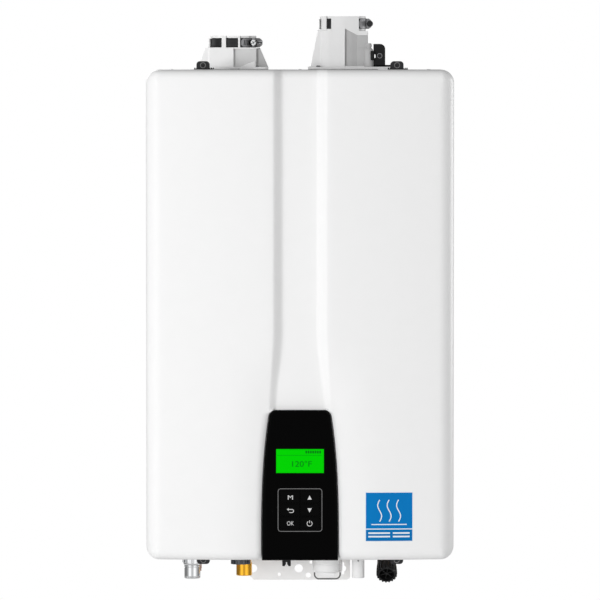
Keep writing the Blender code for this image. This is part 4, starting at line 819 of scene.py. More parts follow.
def keyMark(word, x, y, z):
    thick = keySigns["thickness"]
    if word in ("menu", "enter"):
        return lettering(*keySigns[word], x, y, z)
    if word in ("up", "down"):
        side = 1 if word == "up" else -1
        half = keySigns["arrowHalf"]
        corners = [(x - half, z - side * half), (x + half, z - side * half), (x, z + side * half)]
        return slab(corners if side > 0 else corners[::-1], y - thick / 2, y + thick / 2)
    if word == "back":
        corners = [(x - 0.0050, z + 0.0014), (x - 0.0024, z - 0.0008), (x - 0.0024, z + 0.0036)]
        tip = slab(corners, y - thick / 2, y + thick / 2)
        points = [(x - 0.0026, z + 0.0014), (x + 0.0018, z + 0.0014)]
        points += arc(x + 0.0024, z - 0.0008, keySigns["backTurn"], 90, -90, 12)[1:]
        points.append((x - 0.0016, z - 0.0030))
        return together(tip, ribbon(upright(points, y), keySigns["backLine"], thick))
    ring = upright(arc(x, z - 0.0003, keySigns["powerTurn"], 125, 415, 24), y)
    line = [(x, y, z + 0.0006), (x, y, z + 0.0044)]
    return together(*[ribbon(points, keySigns["powerLine"], thick) for points in (ring, line)])


makePanel()
makeKeypad()
print("panel made")


# Sticker that follows the cover's front
sticker = {
    "left": 0.0940, "right": 0.1603, "top": -0.5327, "bottom": -0.6018, "line": -0.5847, "border": 0.0012,
    "gap": 0.0007, "film": 0.00012,
    "waves": (-0.0135, 0.0, 0.0135), "swing": 0.0028, "waveLow": -0.5740, "waveHeight": 0.0310,
    "stroke": 0.0014, "underline": -0.5782, "underlineInset": 0.008,
    "bars": ((0.0035, 0.0345), (0.0385, 0.0625)), "barsZ": (-0.5905, -0.5955), "barHeight": 0.0022,
}


def onCover(left, right, bottom, top, lift):
    shape = bmesh.new()
    rows = []
    steps = 12
    for row in range(steps + 1):
        z = bottom + (top - bottom) * row / steps
        xs = [left + (right - left) * column / steps for column in range(steps + 1)]
        rows.append([shape.verts.new((x, coverY(x, z) - lift, z)) for x in xs])
    for lower, upper in zip(rows, rows[1:]):
        for index in range(steps):
            shape.faces.new((lower[index], lower[index + 1], upper[index + 1], upper[index]))
    bmesh.ops.recalc_face_normals(shape, faces=shape.faces)
    if shape.faces[:][0].normal.y > 0:
        bmesh.ops.reverse_faces(shape, faces=shape.faces)
    return thickened(shape, 0.0001)


def coverRibbon(points, width, lift):
    path = [Vector((x, coverY(x, z) - lift, z)) for x, z in points]
    return ribbon(path, width, 0.0001)


def coverLine(left, right, z, width, lift):
    return coverRibbon([(left + (right - left) * step / 12, z) for step in range(13)], width, lift)


def makeSticker():
    s = sticker
    edge = s["border"]
    film = s["film"]
    border = onCover(s["left"] - edge, s["right"] + edge, s["bottom"] - edge, s["top"] + edge, film)
    field = onCover(s["left"], s["right"], s["line"] + s["gap"], s["top"], film * 2)
    band = onCover(s["left"], s["right"], s["bottom"], s["line"] - s["gap"], film * 2)
    addPiece("stickerBorder", border, "stickerWhite")
    addPiece("stickerField", field, "stickerBlue")
    addPiece("stickerBand", band, "stickerBand")
    centre = (s["left"] + s["right"]) / 2
    marks = []
    for shift in s["waves"]:
        points = []
        for step in range(25):
            share = step / 24
            x = centre + shift + s["swing"] * math.sin(share * math.tau)
            points.append((x, s["waveLow"] + s["waveHeight"] * share))
        marks.append(coverRibbon(points, s["stroke"], film * 3))
    inset = s["underlineInset"]
    marks.append(coverLine(s["left"] + inset, s["right"] - inset, s["underline"], s["stroke"], film * 3))
    for left, right in s["bars"]:
        for z in s["barsZ"]:
            marks.append(coverLine(s["left"] + left, s["left"] + right, z, s["barHeight"], film * 3))
    addPiece("stickerMarks", together(*marks), "stickerWhite")


makeSticker()
print("sticker made")


# Collars
collar = {
    "plate": 0.0035, "plateCorner": 0.007, "plateHalf": 0.051, "footBore": 0.0275, "footHeight": 0.004,
    "bore": 0.0305, "outer": 0.0336, "clear": 0.0334, "gusset": 0.004, "gussetBack": 0.0315,
}


def collarBase(left, right, place):
    half = collar["plateHalf"]
    outline = roundedOutline(left, right, place["y"] - half, place["y"] + half, collar["plateCorner"])
    return tray(outline, place["base"], place["base"] + collar["plate"], 0.0008)


def collarTube(place):
    base = place["base"]
    top = place["top"]
    foot = collar["footBore"]
    bore = collar["bore"]
    outer = collar["outer"]
    step = base + collar["footHeight"]
    profile = (
        (foot, base), (foot, step), (bore, step), (bore, top - 0.0012), (bore + 0.0010, top),
        (outer - 0.0006, top), (outer, top - 0.0006), (outer, base),
    )
    return turned(profile, (place["x"], place["y"], 0), steps=72, closed=True)


# A thin curved strip around a collar, from one angle to another, counted from the front to the right
def wrapped(place, radius, thickness, spans):
    rings = []
    outer = radius + thickness
    for angle, low, high in spans:
        turn = math.radians(angle)
        out = Vector((math.sin(turn), -math.cos(turn), 0))
        ring = []
        for reach, z in ((radius, low), (outer, low), (outer, high), (radius, high)):
            ring.append(Vector((place["x"], place["y"], z)) + out * reach)
        rings.append(ring)
    return loft(rings)


def evenSpans(first, last, low, high, steps):
    return [(first + (last - first) * step / steps, low, high) for step in range(steps + 1)]


intakeBody = {
    "left": -0.0368, "right": 0.0335, "front": -0.1273, "back": 0.0373, "top": 0.1015, "recessTop": 0.0999,
    "recessDepth": 0.0060, "lipRight": 0.0371, "foot": 0.0508, "leftTip": -0.0403, "rightTip": 0.0385,
    "setBack": 0.010, "paintedShadeSheetLow": 0.0724,
    # outline, across and deep from the front, of a sheet in painted shade laid in the recess
    "paintedShadeSheet": ((0.0002, 0.0060), (0.0080, 0.0058), (0.0160, 0.0050), (0.0250, 0.0041), (0.0337, 0.0036),
              (0.0337, 0.0048), (0.0160, 0.0062), (0.0002, 0.0067)),
    "arc": ((0.0004, 0.0722), (0.0080, 0.0726), (0.0142, 0.0747), (0.0208, 0.0779), (0.0282, 0.0806),
            (0.0350, 0.0824)),
    "tabs": ((-0.0168, -0.0104), (0.0072, 0.0101)),
}


def makeIntakeCollar():
    x = intake["x"]
    y = intake["y"]
    b = intakeBody
    front = b["front"]
    top = b["top"]
    seat = intake["base"] + 0.003
    outline = roundedOutline(x + b["left"], x + b["right"], front, y + b["back"], 0.0030)
    body = tray(outline, seat, top, 0.0009)
    recess = [(x + 0.0004, b["recessTop"])] + [(x + across, z) for across, z in b["arc"]]
    recess.append((x + b["right"] + 0.0015, b["recessTop"]))
    bore = rod((x, y, 0.06), (x, y, 0.13), collar["clear"], 72)
    body = carved(body, bore, slab(recess, front - 0.004, front + b["recessDepth"]))
    pipe = carved(collarTube(intake), slab(recess, front - 0.004, front + b["recessDepth"] + 0.0004))
    # a thin sheet in painted shade lies in the recess, where there is only shade
    inner = [(x + across, front + deep) for across, deep in b["paintedShadeSheet"]]
    paintedShadeSheet = tray(inner, b["paintedShadeSheetLow"], b["recessTop"] + 0.0004)
    pieces = [body, collarBase(x - collar["plateHalf"], x + collar["plateHalf"], intake), pipe]
    gusset = []
    back = y + collar["gussetBack"]
    low = (x + b["right"] - 0.002, front, b["recessTop"])
    pieces.append(block(low, (x + b["lipRight"], front + 0.030, top), 0.0005))
    for side, edge, tip, depth in (
            (-1, b["left"], b["leftTip"], front + 0.0012), (-1, b["left"], b["leftTip"], back),
            (1, b["right"], b["rightTip"], front + b["setBack"]), (1, b["right"], b["rightTip"], back)):
        inner = x + edge - side * 0.002
        foot = x + side * b["foot"]
        points = [(inner, seat), (foot, seat), (x + tip, top - 0.0005), (inner, top - 0.0005)]
        shade = gusset if depth == front + b["setBack"] else pieces
        shade.append(slab(points if side > 0 else points[::-1], depth, depth + collar["gusset"], 0.0006))
    # painted shade on the recess sheet and on the gusset set back beside the body
    addPiece("intakeRecessPaintedShade", paintedShadeSheet, "collarPaintedDimShade", sharp=35)
    addPiece("intakeGusset", together(*gusset), "collarPaintedShade", sharp=35)
    for left, right in b["tabs"]:
        low = (x + left, front + 0.0006, top - 0.001)
        pieces.append(block(low, (x + right, front + 0.0022, intake["top"]), 0.0005))
        low = (x + left, front + 0.0010, intake["top"] - 0.0020)
        pieces.append(block(low, (x + right, y - 0.0310, intake["top"] - 0.0004), 0.0003, 1))
    pieces.append(wrapped(intake, 0.0362, 0.0012, evenSpans(-86, -72, top - 0.001, 0.1145, 3)))
    rim = evenSpans(-40, 40, intake["top"] - 0.0026, intake["top"], 12)
    pieces.append(wrapped(intake, 0.0345, 0.0016, rim))
    shape = together(*pieces)
    # painted light: the intake collar is whiter than the exhaust collar, which is the same plastic
    addPiece("intakeCollar", shape, "collarWhitePaintedLight", stands=["intake_collar"], sharp=35)
    plate = intake["base"] + 0.0032
    screws = [crossScrew((x + 0.0093, -0.2400, cabinet["top"] - 0.0002), (0, 0, 1), 0.0017, 0.0012)]
    screws.append(crossScrew((x + 0.0352, front - 0.0066, plate), (0, 0, 1), 0.0024, 0.0018))
    for side in (-1, 1):
        screws.append(crossScrew((x + side * 0.0430, y + 0.0430, plate), (0, 0, 1), 0.0024, 0.0016))
    addPiece("intakeScrews", together(*screws), "screwDark")


exhaustBody = {
    "left": -0.0321, "right": 0.0365, "front": -0.1273, "back": 0.0373, "top": 0.1255,
    "columnLeft": -0.0172, "columnRight": 0.0231, "recessLeft": 0.0030, "recessBend": 0.0210,
    "recessHigh": 0.1290, "recessLow": 0.1195, "recessFoot": 0.0745, "recessDepth": 0.0150,
    "footLeft": 0.0474, "leftTip": 0.0366, "footRight": 0.0500, "rightTip": 0.0376, "rightTop": 0.0980,
    "plateRight": 0.0701,
    # outline, across and deep from the front, of a sheet in painted shade laid in the recess
    "paintedShadeSheet": ((0.0022, 0.0030), (0.0100, 0.0034), (0.0150, 0.0048), (0.0212, 0.0066), (0.0212, 0.0140),
              (0.0022, 0.0068)),
}


# The front outline of the body and its column, gently curved so that the light rolls over it
def exhaustFront(depth):
    x = exhaust["x"]
    e = exhaustBody
    points = []
    for step in range(9):
        share = step / 8
        across = e["left"] + (e["columnLeft"] - e["left"]) * share
        points.append((x + across, depth + 0.0022 * (1 - share) ** 2 - 0.0010 * smoothStep(share)))
    for step in range(1, 13):
        share = step / 12
        across = e["columnLeft"] + (e["columnRight"] - e["columnLeft"]) * share
        drop = 0.0040 * share ** 2
        points.append((x + across, depth - 0.0010 - 0.0014 * smoothStep(share * 2) + drop))
    return points


def makeExhaustCollar():
    x = exhaust["x"]
    y = exhaust["y"]
    e = exhaustBody
    front = e["front"]
    top = e["top"]
    seat = exhaust["base"] + 0.003
    left = x + e["left"]
    right = x + e["right"]
    bore = rod((x, y, 0.06), (x, y, 0.16), collar["clear"], 72)
    outline = exhaustFront(front) + [
        (right - 0.002, front + 0.0006), (right - 0.0005, front + 0.0012), (right, front + 0.0028),
        (right, y + e["back"]), (left, y + e["back"]),
    ]
    body = tray(outline, seat, top)
    recess = [
        (x + e["recessLeft"], e["recessFoot"]), (right + 0.004, e["recessFoot"]),
        (right + 0.004, e["recessLow"]), (x + e["recessBend"], e["recessLow"]),
        (x + e["recessLeft"], e["recessHigh"]),
    ]
    hollow = slab(recess, front - 0.006, front + e["recessDepth"])
    middle = [point for point in exhaustFront(front) if point[0] >= x + e["columnLeft"] - 1e-6]
    column = middle + [(x + e["columnRight"], y - 0.0240), (x + e["columnLeft"], y - 0.0290)]
    body = carved(fused(body, tray(column, top - 0.0100, exhaust["top"])), bore, hollow)
    pieces = [body, collarBase(x - collar["plateHalf"], x + e["plateRight"], exhaust)]
    strip = roundedOutline(x + 0.0006, x + 0.0026, seat, 0.1215, 0.0005, 2)
    pieces.append(slab(strip, front - 0.0022, front + 0.0060, 0.0005))
    # a sheet and two blocks in painted shade fill the recess beside the column
    inner = [(x + across, front + deep) for across, deep in e["paintedShadeSheet"]]
    paintedShadeSheet = [tray(inner, seat, e["recessHigh"])]
    edge = right - 0.0004
    paintedShadeSheet.append(block((x + 0.0206, front + 0.0046, seat), (edge, front + 0.0170, 0.1196), 0.0008))
    paintedShadeSheet.append(block((x + 0.0204, front + 0.0036, seat), (edge, front + 0.0160, 0.1010), 0.0006))
    addPiece("exhaustRecessPaintedShade", together(*paintedShadeSheet), "collarPaintedShade", sharp=35)
    slots = []
    for angle in (20, 70, 120, 170):
        cutter = block((0.025, -0.0045, exhaust["top"] - 0.0047), (0.040, 0.0045, exhaust["top"] + 0.004))
        slots.append(moved(cutter, spin(x, y, math.radians(angle))))
    pieces.append(carved(collarTube(exhaust), *slots))
    edge = left + 0.002
    points = [(x - e["footLeft"], seat), (edge, seat), (edge, top), (x - e["leftTip"], top)]
    back = y + collar["gussetBack"]
    gussets = [(points, front + 0.0034), (points, back)]
    edge = right - 0.002
    high = e["rightTop"]
    points = [(edge, seat), (x + e["footRight"], seat), (x + e["rightTip"], high), (edge, high)]
    gussets.append((points, back))
    pieces += [slab(points, depth, depth + collar["gusset"], 0.0006) for points, depth in gussets]
    tab = evenSpans(-60, -42, top - 0.001, exhaust["top"] - 0.0002, 8)
    pieces.append(wrapped(exhaust, 0.0352, 0.0014, tab))
    pieces.append(wrapped(exhaust, 0.0338, 0.0034, evenSpans(-84, -28, top - 0.0012, top + 0.0024, 12)))
    shape = together(*pieces)
    addPiece("exhaustCollar", shape, "plasticWhite", stands=["exhaust_collar"], sharp=35)
    plate = exhaust["base"] + 0.0032
    screws = [crossScrew((x - 0.0362, front - 0.0040, plate), (0, 0, 1), 0.0034, 0.0022)]
    for shift in (-0.043, 0.043):
        screws.append(crossScrew((x + shift, y + 0.043, plate), (0, 0, 1), 0.0024, 0.0016))
    addPiece("exhaustScrews", together(*screws), "screwDark")


makeIntakeCollar()
makeExhaustCollar()
print("collars made")


# Clamps, each a band with a worm housing and its screw
clamp = {
    "inner": 0.0338, "outer": 0.0347, "bead": 0.0003, "housingOut": 0.03875, "screwOut": 0.03995,
    "housingHalf": 0.0100, "bore": 0.0034, "head": 0.0046, "headStart": 0.0103, "headEnd": 0.0163,
    "tongue": 0.0350, "tongueStart": 46, "tongueEnd": 4,
    "slots": 20, "slotStart": 100, "slotPitch": 6, "slotSlant": 0.2, "toothPitch": 4.4, "toothSlant": 0.12,
    "worm": 0.0029, "wormRoot": 0.0023, "wormStart": -0.0098, "wormPitch": 0.0021, "wormTurns": 9,
    "shoulder": 0.0045, "face": 0.0041,
}


def makeBand(place, low, high, angle, slotted):
    inner = clamp["inner"]
    outer = clamp["outer"]
    proud = outer + clamp["bead"]
    profile = (
        (outer, low + 0.0004), (proud, low + 0.0014), (outer, low + 0.0026), (outer, high - 0.0026),
        (proud, high - 0.0014), (outer, high - 0.0004), (inner, high), (inner, low),
    )
    band = turned(profile, (place["x"], place["y"], 0), steps=96, closed=True)
    middle = (low + high) / 2
    tools = []
    for index in range(clamp["slots"]):
        spot = math.radians(clamp["slotStart"] + index * clamp["slotPitch"])
        cutter = block((-0.0008, -0.003, -0.0033), (0.0008, 0.003, 0.0033))
        turn = Matrix.Rotation(clamp["slotSlant"], 4, "Y")
        out = Matrix.Translation((0, -outer, 0))
        tools.append(moved(cutter, spin(place["x"], place["y"], spot, middle) @ out @ turn))
    band = carved(band, *tools)
    first = math.degrees(angle) - clamp["tongueStart"]
    last = math.degrees(angle) - clamp["tongueEnd"]
    tall = (high - low) / 2 - 0.0008
    spans = [(first, middle - tall * 0.5, middle + tall * 0.5), (first + 5, middle - tall, middle + tall)]
    spans += evenSpans(first + 9, last, middle - tall, middle + tall, 10)
    tongue = wrapped(place, clamp["tongue"], 0.0008, spans)
    cuts = []
    spot = first + 8
    while spot < last:
        cutter = block((-0.0006, -0.004, -tall * 0.68), (0.0006, 0.004, tall * 0.68))
        out = Matrix.Translation((0, -clamp["tongue"], 0)) @ Matrix.Rotation(clamp["toothSlant"], 4, "Y")
        cuts.append(moved(cutter, spin(place["x"], place["y"], math.radians(spot), middle) @ out))
        spot += clamp["toothPitch"]
    return band, carved(tongue, *cuts) if slotted else tongue


def makeClamp(word, place, low, high, angle):
    middle = (low + high) / 2
    tall = (high - low) / 2 - 0.0001
    band, tongue = makeBand(place, low, high, angle, word == "intake")
    outward = Vector((math.sin(angle), -math.cos(angle), 0))
    along = Vector((-math.cos(angle), -math.sin(angle), 0))
    base = Vector((place["x"], place["y"], middle))
    section = (
        (-0.0042, -tall), (-0.0010, -tall), (0.0020, -tall * 0.72), (0.0043, -tall * 0.30),
        (0.0043, tall * 0.30), (0.0020, tall * 0.72), (-0.0010, tall), (-0.0042, tall),
    )
    rings = []
    for reach, shrink in ((-1, 0.93), (-0.94, 1), (0.94, 1), (1, 0.93)):
        centre = base + outward * clamp["housingOut"] + along * clamp["housingHalf"] * reach
        rings.append([centre + outward * out * shrink + Vector((0, 0, up * shrink)) for out, up in section])
    spot = base + outward * clamp["screwOut"]
    bore = rod(spot - along * 0.012, spot + along * 0.012, clamp["bore"])
    housing = carved(loft(rings), bore)
    # the band's near-black steel is painted dark reflection and shade
    addPiece(word + "Band", band, "bandSteelPaintedShade", stands=[word + "_clamp_band"], sharp=30)
    addPiece(word + "Tongue", tongue, "clampGrey" if word == "intake" else "clampPale")
    addPiece(word + "Housing", housing, "clampGrey", sharp=20)
    tip = clamp["wormStart"]
    outer = clamp["worm"]
    root = clamp["wormRoot"]
    profile = [(0, tip), (root + 0.0001, tip)]
    for index in range(clamp["wormTurns"]):
        z = tip + 0.0006 + index * clamp["wormPitch"]
        profile += [(outer, z), (outer, z + 0.0007), (root, z + 0.0011), (root, z + 0.0017)]
    start = clamp["headStart"]
    end = clamp["headEnd"]
    wide = clamp["shoulder"]
    profile += [(outer + 0.0001, start), (wide, start), (wide, start + 0.0008), (0, start + 0.0008)]
    worm = turned(profile, spot, along, 24)
    radius = clamp["head"]
    head = turned(((radius, start + 0.0004), (radius, end - 0.0008), (radius * 0.86, end), (0, end)),
                  steps=6)
    slots = ((-0.0042, -0.0005, 0.0042, 0.0005), (-0.0005, -0.0026, 0.0005, 0.0026))
    head = carved(head, *[block((x0, y0, end - 0.0016), (x1, y1, end + 0.004)) for x0, y0, x1, y1 in slots])
    screw = word + "_clamp_screw"
    shape = together(worm, placed(head, spot, along))
    # worm and head share the band's near-black steel, painted dark reflection and shade
    addPiece(word + "Screw", shape, "bandSteelPaintedShade", body=screw, stands=[screw], sharp=25)
    # painted highlight: a thin bright disc on the face of the intake screw's head
    if word == "intake":
        radius = clamp["face"]
        under = end - 0.0004
        over = end + 0.0001
        face = turned(((0, under), (radius, under), (radius, over), (0, over)), steps=32)
        face = carved(face, *[block((x0, y0, end - 0.003), (x1, y1, end + 0.004)) for x0, y0, x1,
                              y1 in slots])
        addPiece(word + "ScrewPaintedHighlight", placed(face, spot, along), "paintedHighlightMetal", body=screw, sharp=25)


makeClamp("intake", intake, 0.1018, 0.1153, math.radians(65))
makeClamp("exhaust", exhaust, 0.1286, 0.1438, math.radians(88))
print("clamps made")


# A thin ring around a screw on a front face
def washer(spot, outer, inner):
    profile = ((outer, 0), (outer, 0.0004), (inner, 0.0004), (inner, 0))
    return turned(profile, spot, (0, -1, 0), 28, closed=True)


# Sampling port and the bracket beside it
port = {"x": 0.100, "y": -0.1342, "bottom": 0.0737, "height": 0.034, "radius": 0.0065, "cap": 0.0043}
portBracket = {
    "left": 0.1069, "right": 0.1241, "foot": 0.1326, "front": -0.1367, "back": -0.1317, "bottom": 0.0737,
    "top": 0.1067, "sheet": 0.0025, "round": 0.0075, "holeX": 0.1160, "holeZ": 0.0895, "hole": 0.0022,
    "slotLow": 0.0862, "slotHigh": 0.0915, "hookLeft": 0.1028, "hookFront": -0.1424, "hookLow": 0.0829,
    "hookHigh": 0.0966,
}


def makePort():
    x = port["x"]
    y = port["y"]
    bottom = port["bottom"]
    radius = port["radius"]
    cap = port["cap"]
    high = port["height"]
    profile = [
        (0, 0), (radius, 0), (radius, high * 0.70), (radius - 0.0005, high * 0.735), (cap, high * 0.79),
        (cap - 0.0006, high * 0.80), (cap - 0.0006, high * 0.825), (cap, high * 0.835), (cap, high * 0.95),
        (cap - 0.0008, high), (0, high),
    ]
    pieces = [turned(profile, (x, y, bottom), steps=40)]
    for index in range(14):
        rib = block((cap - 0.0005, -0.0003, high * 0.85), (cap + 0.0003, 0.0003, high * 0.94), 0.0001, 1)
        pieces.append(moved(rib, spin(x, y, math.tau * index / 14, bottom)))
    for index in range(10):
        rib = block((radius - 0.0010, -0.0005, high * 0.05), (radius + 0.0001, 0.0005, high * 0.66), 0.0002,
                    1)
        pieces.append(moved(rib, spin(x, y, math.tau * index / 10, bottom)))
    node = "sampling_port"
    addPiece("samplingPort", together(*pieces), "plasticGrey", body=node, stands=[node])


def makePortBracket():
    p = portBracket
    left = p["left"]
    right = p["right"]
    bottom = p["bottom"]
    turn = p["round"]
    sheet = p["sheet"]
    top = p["top"]
    front = p["front"]
    outline = [(left, bottom), (p["foot"], bottom), (p["foot"], bottom + sheet), (right, bottom + sheet)]
    outline += arc(right - turn, top - turn, turn, 0, 90, 8)
    outline.append((left, top))
    plate = slab(outline, front, front + sheet, 0.0004)
    outline = roundedOutline(left + 0.0006, left + 0.0030, p["slotLow"], p["slotHigh"], 0.0011, 4)
    slot = slab(outline, -0.15, -0.12)
    hole = rod((p["holeX"], -0.15, p["holeZ"]), (p["holeX"], -0.12, p["holeZ"]), p["hole"])
    pieces = [carved(plate, slot, hole)]
    pieces.append(block((left, front, bottom), (p["foot"], p["back"], bottom + sheet), 0.0006))
    pieces.append(block((left + 0.0036, front + 0.002, bottom), (left + 0.0056, p["back"], top - 0.004),
                        0.0005))
    hook = left + 0.0014
    near = p["hookFront"]
    low = p["hookLow"]
    high = p["hookHigh"]
    pieces.append(block((p["hookLeft"], near, low), (hook, near + 0.0012, high), 0.0003, 1))
    pieces.append(block((left + 0.0002, near, low), (hook, front + 0.001, high), 0.0003, 1))
    shape = together(*pieces)
    addPiece("portBracket", shape, "plasticBlack", stands=["port_bracket"])
    spot = (p["holeX"], front, p["holeZ"])
    ring = washer(spot, 0.0037, 0.0030)
    screw = crossScrew(spot, (0, -1, 0), 0.0025, 0.0010, 0.4)
    addPiece("portRing", ring, "clampPale")
    addPiece("portScrew", screw, "leverBlack")


makePort()
makePortBracket()
print("port made")


# Latches
latch = {
    "x": 0.139304, "half": 0.00935, "corner": 0.0048, "height": 0.012, "forward": 0.0233, "pivotY": -0.2321,
    "pivotRise": 0.0065, "plate": 0.004, "arm": 0.0058, "barrel": 0.0033, "bore": 0.0019, "pin": 0.0016,
    "ear": 0.0032, "lipLeft": 0.0133, "lipRight": 0.0160, "lipY": -0.2345, "lipRise": 0.0012,
    "teeth": 11, "toothHalf": 0.0008, "toothRise": 0.0026,
}


def between(low, high, edge=0.0, steps=2):
    low, high = [min(pair) for pair in zip(low, high)], [max(pair) for pair in zip(low, high)]
    return block(low, high, edge, steps)


def makeLatch(height, hand, x, side):
    surface = case["top"] if side > 0 else case["bottom"]
    coverEdge = cabinet["top"] if side > 0 else cabinet["bottom"]
    pivotY = latch["pivotY"]
    pivotZ = surface + side * latch["pivotRise"]
    half = latch["half"]
    corner = latch["corner"]
    tip = coverEdge + side * latch["height"]
    foot = coverEdge + side * 0.0003
    front = pivotY - latch["forward"]
    outline = [(x - half, foot), (x + half, foot)]
    for centre, start in ((x + half - corner, 0), (x - half + corner, 90)):
        bend = arc(centre, -corner, corner, start, start + 90, 8)
        outline += [(across, tip + side * up) for across, up in bend]
    plate = slab(outline, front, front + latch["plate"], 0.0007, 3)
    left = x - latch["arm"]
    right = x + latch["arm"]
    arm = between((left, front + 0.002, pivotZ), (right, pivotY, pivotZ + side * 0.0029), 0.0006)
    high = (x + 0.0012, pivotY - 0.003, pivotZ + side * 0.0035)
    rib = between((x - 0.0012, front + 0.003, pivotZ), high, 0.0004)
    barrel = rod((left, pivotY, pivotZ), (right, pivotY, pivotZ), latch["barrel"], 28)
    barrel = carved(barrel, rod((x - 0.01, pivotY, pivotZ), (x + 0.01, pivotY, pivotZ), latch["bore"], 20))
    body = height + "_" + hand + "_lever"
    node = height + "_" + hand + "_latch"
    word = height + hand.capitalize()
    lever = together(plate, arm, rib, barrel)
    addPiece(word + "Lever", lever, "leverBlack", body=body, stands=[node + "_lever"])
    spot = (x, front, (foot + tip) / 2)
    ring = washer(spot, 0.0042, 0.0033)
    screw = crossScrew(spot, (0, -1, 0), 0.0024, 0.0009, 0.5)
    addPiece(word + "Ring", ring, "ringGrey", body=body)
    addPiece(word + "Screw", screw, "leverBlack", body=body)
    seat = surface + side * 0.0003
    back = pivotY - 0.0033
    pieces = [between((x - half, back, seat), (x + half, back + 0.020, seat + side * 0.0018), 0.0005)]
    for direction in (-1, 1):
        outer = x + direction * half
        inner = outer - direction * latch["ear"]
        ear = between((outer, back, seat), (inner, pivotY + 0.0033, pivotZ + side * 0.0045), 0.0007)
        pieces.append(ear)
    end = half - 0.0003
    pieces.append(rod((x - end, pivotY, pivotZ), (x + end, pivotY, pivotZ), latch["pin"], 20))
    pieces.append(crossScrew((x, back + 0.0145, seat + side * 0.0018), (0, 0, side), 0.0026, 0.0012))
    left = x - latch["lipLeft"]
    right = x + latch["lipRight"]
    y = latch["lipY"]
    rise = coverEdge + side * latch["lipRise"]
    pieces.append(between((left, y - 0.0007, seat), (right, y + 0.0007, rise), 0.0003, 1))
    wide = latch["toothHalf"]
    rise = coverEdge + side * latch["toothRise"]
    for index in range(latch["teeth"]):
        centre = left + (right - left) * (index + 0.5) / latch["teeth"]
        low = (centre - wide, y - 0.0008, coverEdge)
        pieces.append(between(low, (centre + wide, y + 0.0008, rise), 0.0003, 1))
    base = together(*pieces)
    addPiece(word + "Base", base, "plasticBlack", stands=[node + "_base"])


for height, side in (("upper", 1), ("lower", -1)):
    for hand, direction in (("left", -1), ("right", 1)):
        makeLatch(height, hand, direction * latch["x"], side)
print("latches made")


# Fittings below
seatZ = -0.6281  # where the flanges sit
flangeZ = seatZ - 0.0025
bottomZ = cabinet["bottom"]


def spotOf(name):
    return fittings[name]["x"], fittings[name]["y"]


# Profile of the end that reaches up into the case
def stub(radius):
    return [(0, seatZ + 0.028), (radius, seatZ + 0.028), (radius, seatZ - 0.001)]


# Profile of an open lower end
def mouth(outer, bore, end, floor):
    return [(outer, end + 0.0006), (outer - 0.0006, end), (bore, end), (bore, floor), (0, floor)]


def threads(radius, start, end, pitch=0.0018, depth=0.0006):
    points = []
    z = start
    while z - pitch > end:
        points += [(radius, z - pitch * 0.2), (radius, z - pitch * 0.4), (radius - depth, z - pitch * 0.8)]
        z -= pitch
    return points


def flangeScrews(x, y, reach, angles, radius):
    screws = []
    for angle in angles:
        angle = math.radians(angle)
        spot = (x + reach * math.cos(angle), y + reach * math.sin(angle), flangeZ)
        screws.append(crossScrew(spot, (0, 0, -1), radius, 0.0009))
    return screws


def flange(name, radius, angles=()):
    x, y = spotOf(name)
    profile = (
        (0, seatZ), (radius, seatZ), (radius, flangeZ + 0.0005), (radius - 0.0006, flangeZ), (0, flangeZ),
    )
    return [turned(profile, (x, y, 0), steps=48)] + flangeScrews(x, y, radius - 0.0026, angles, 0.0019)


# A round form with ribs, from levels that give its radius, its height and the depth of its grooves
def ribbed(levels, count, shares, x=0.0, y=0.0):
    rings = []
    for radius, z, depth in levels:
        drops = (depth, 0.0, 0.0, depth, depth)
        ring = []
        for rib in range(count):
            for share, drop in zip(shares, drops):
                angle = math.tau * (rib + share) / count
                reach = radius - drop
                ring.append((x + reach * math.cos(angle), y + reach * math.sin(angle), z))
        rings.append(ring)
    return loft(rings)


def toothed(x, y, radius, low, high, teeth, depth, edge):
    levels = (
        (radius - edge, low, depth), (radius, low + edge, depth), (radius, high - edge, depth),
        (radius - edge, high, depth),
    )
    return ribbed(levels, teeth, (0.0, 0.08, 0.42, 0.5, 0.75), x, y)


hotOutlet = {
    "collar": 0.0133, "nipple": 0.0117, "nut": 0.0146, "bore": 0.0086, "step": -0.6564, "end": -0.6762,
    "flange": 0.018,
}
recirculation = {"radius": 0.0117, "bore": 0.0080, "floor": -0.640, "end": -0.6706, "flange": 0.016}


def makeHotOutlet():
    h = hotOutlet
    x, y = spotOf("hot")
    step = h["step"]
    end = h["end"]
    wide = h["collar"]
    nipple = h["nipple"]
    profile = stub(0.0105) + [
        (wide - 0.0006, flangeZ), (wide, flangeZ - 0.0008), (wide, step + 0.0030),
        (wide - 0.0008, step + 0.0006),
        (nipple + 0.0001, step), (nipple + 0.0001, step - 0.0006), (nipple + 0.0007, step - 0.0010),
        (nipple + 0.0007, step - 0.0019), (nipple - 0.0004, step - 0.0024), (nipple - 0.0004, step - 0.0032),
        (nipple, step - 0.0036), (nipple, end + 0.0040),
    ]
    profile += threads(nipple, end + 0.0040, end + 0.0006, 0.0011, 0.0003)
    profile += mouth(0.0112, h["bore"], end, step)
    barrel = turned(profile, (x, y, 0), steps=64)
    nut = toothed(x, y, h["nut"], step + 0.0034, flangeZ, 12, 0.0022, 0.0006)
    pieces = flange("hot", h["flange"], (60, 180, 300)) + [nut, barrel]
    addPiece("hotOutlet", together(*pieces), "chromePlate", stands=["hot_water_outlet"])


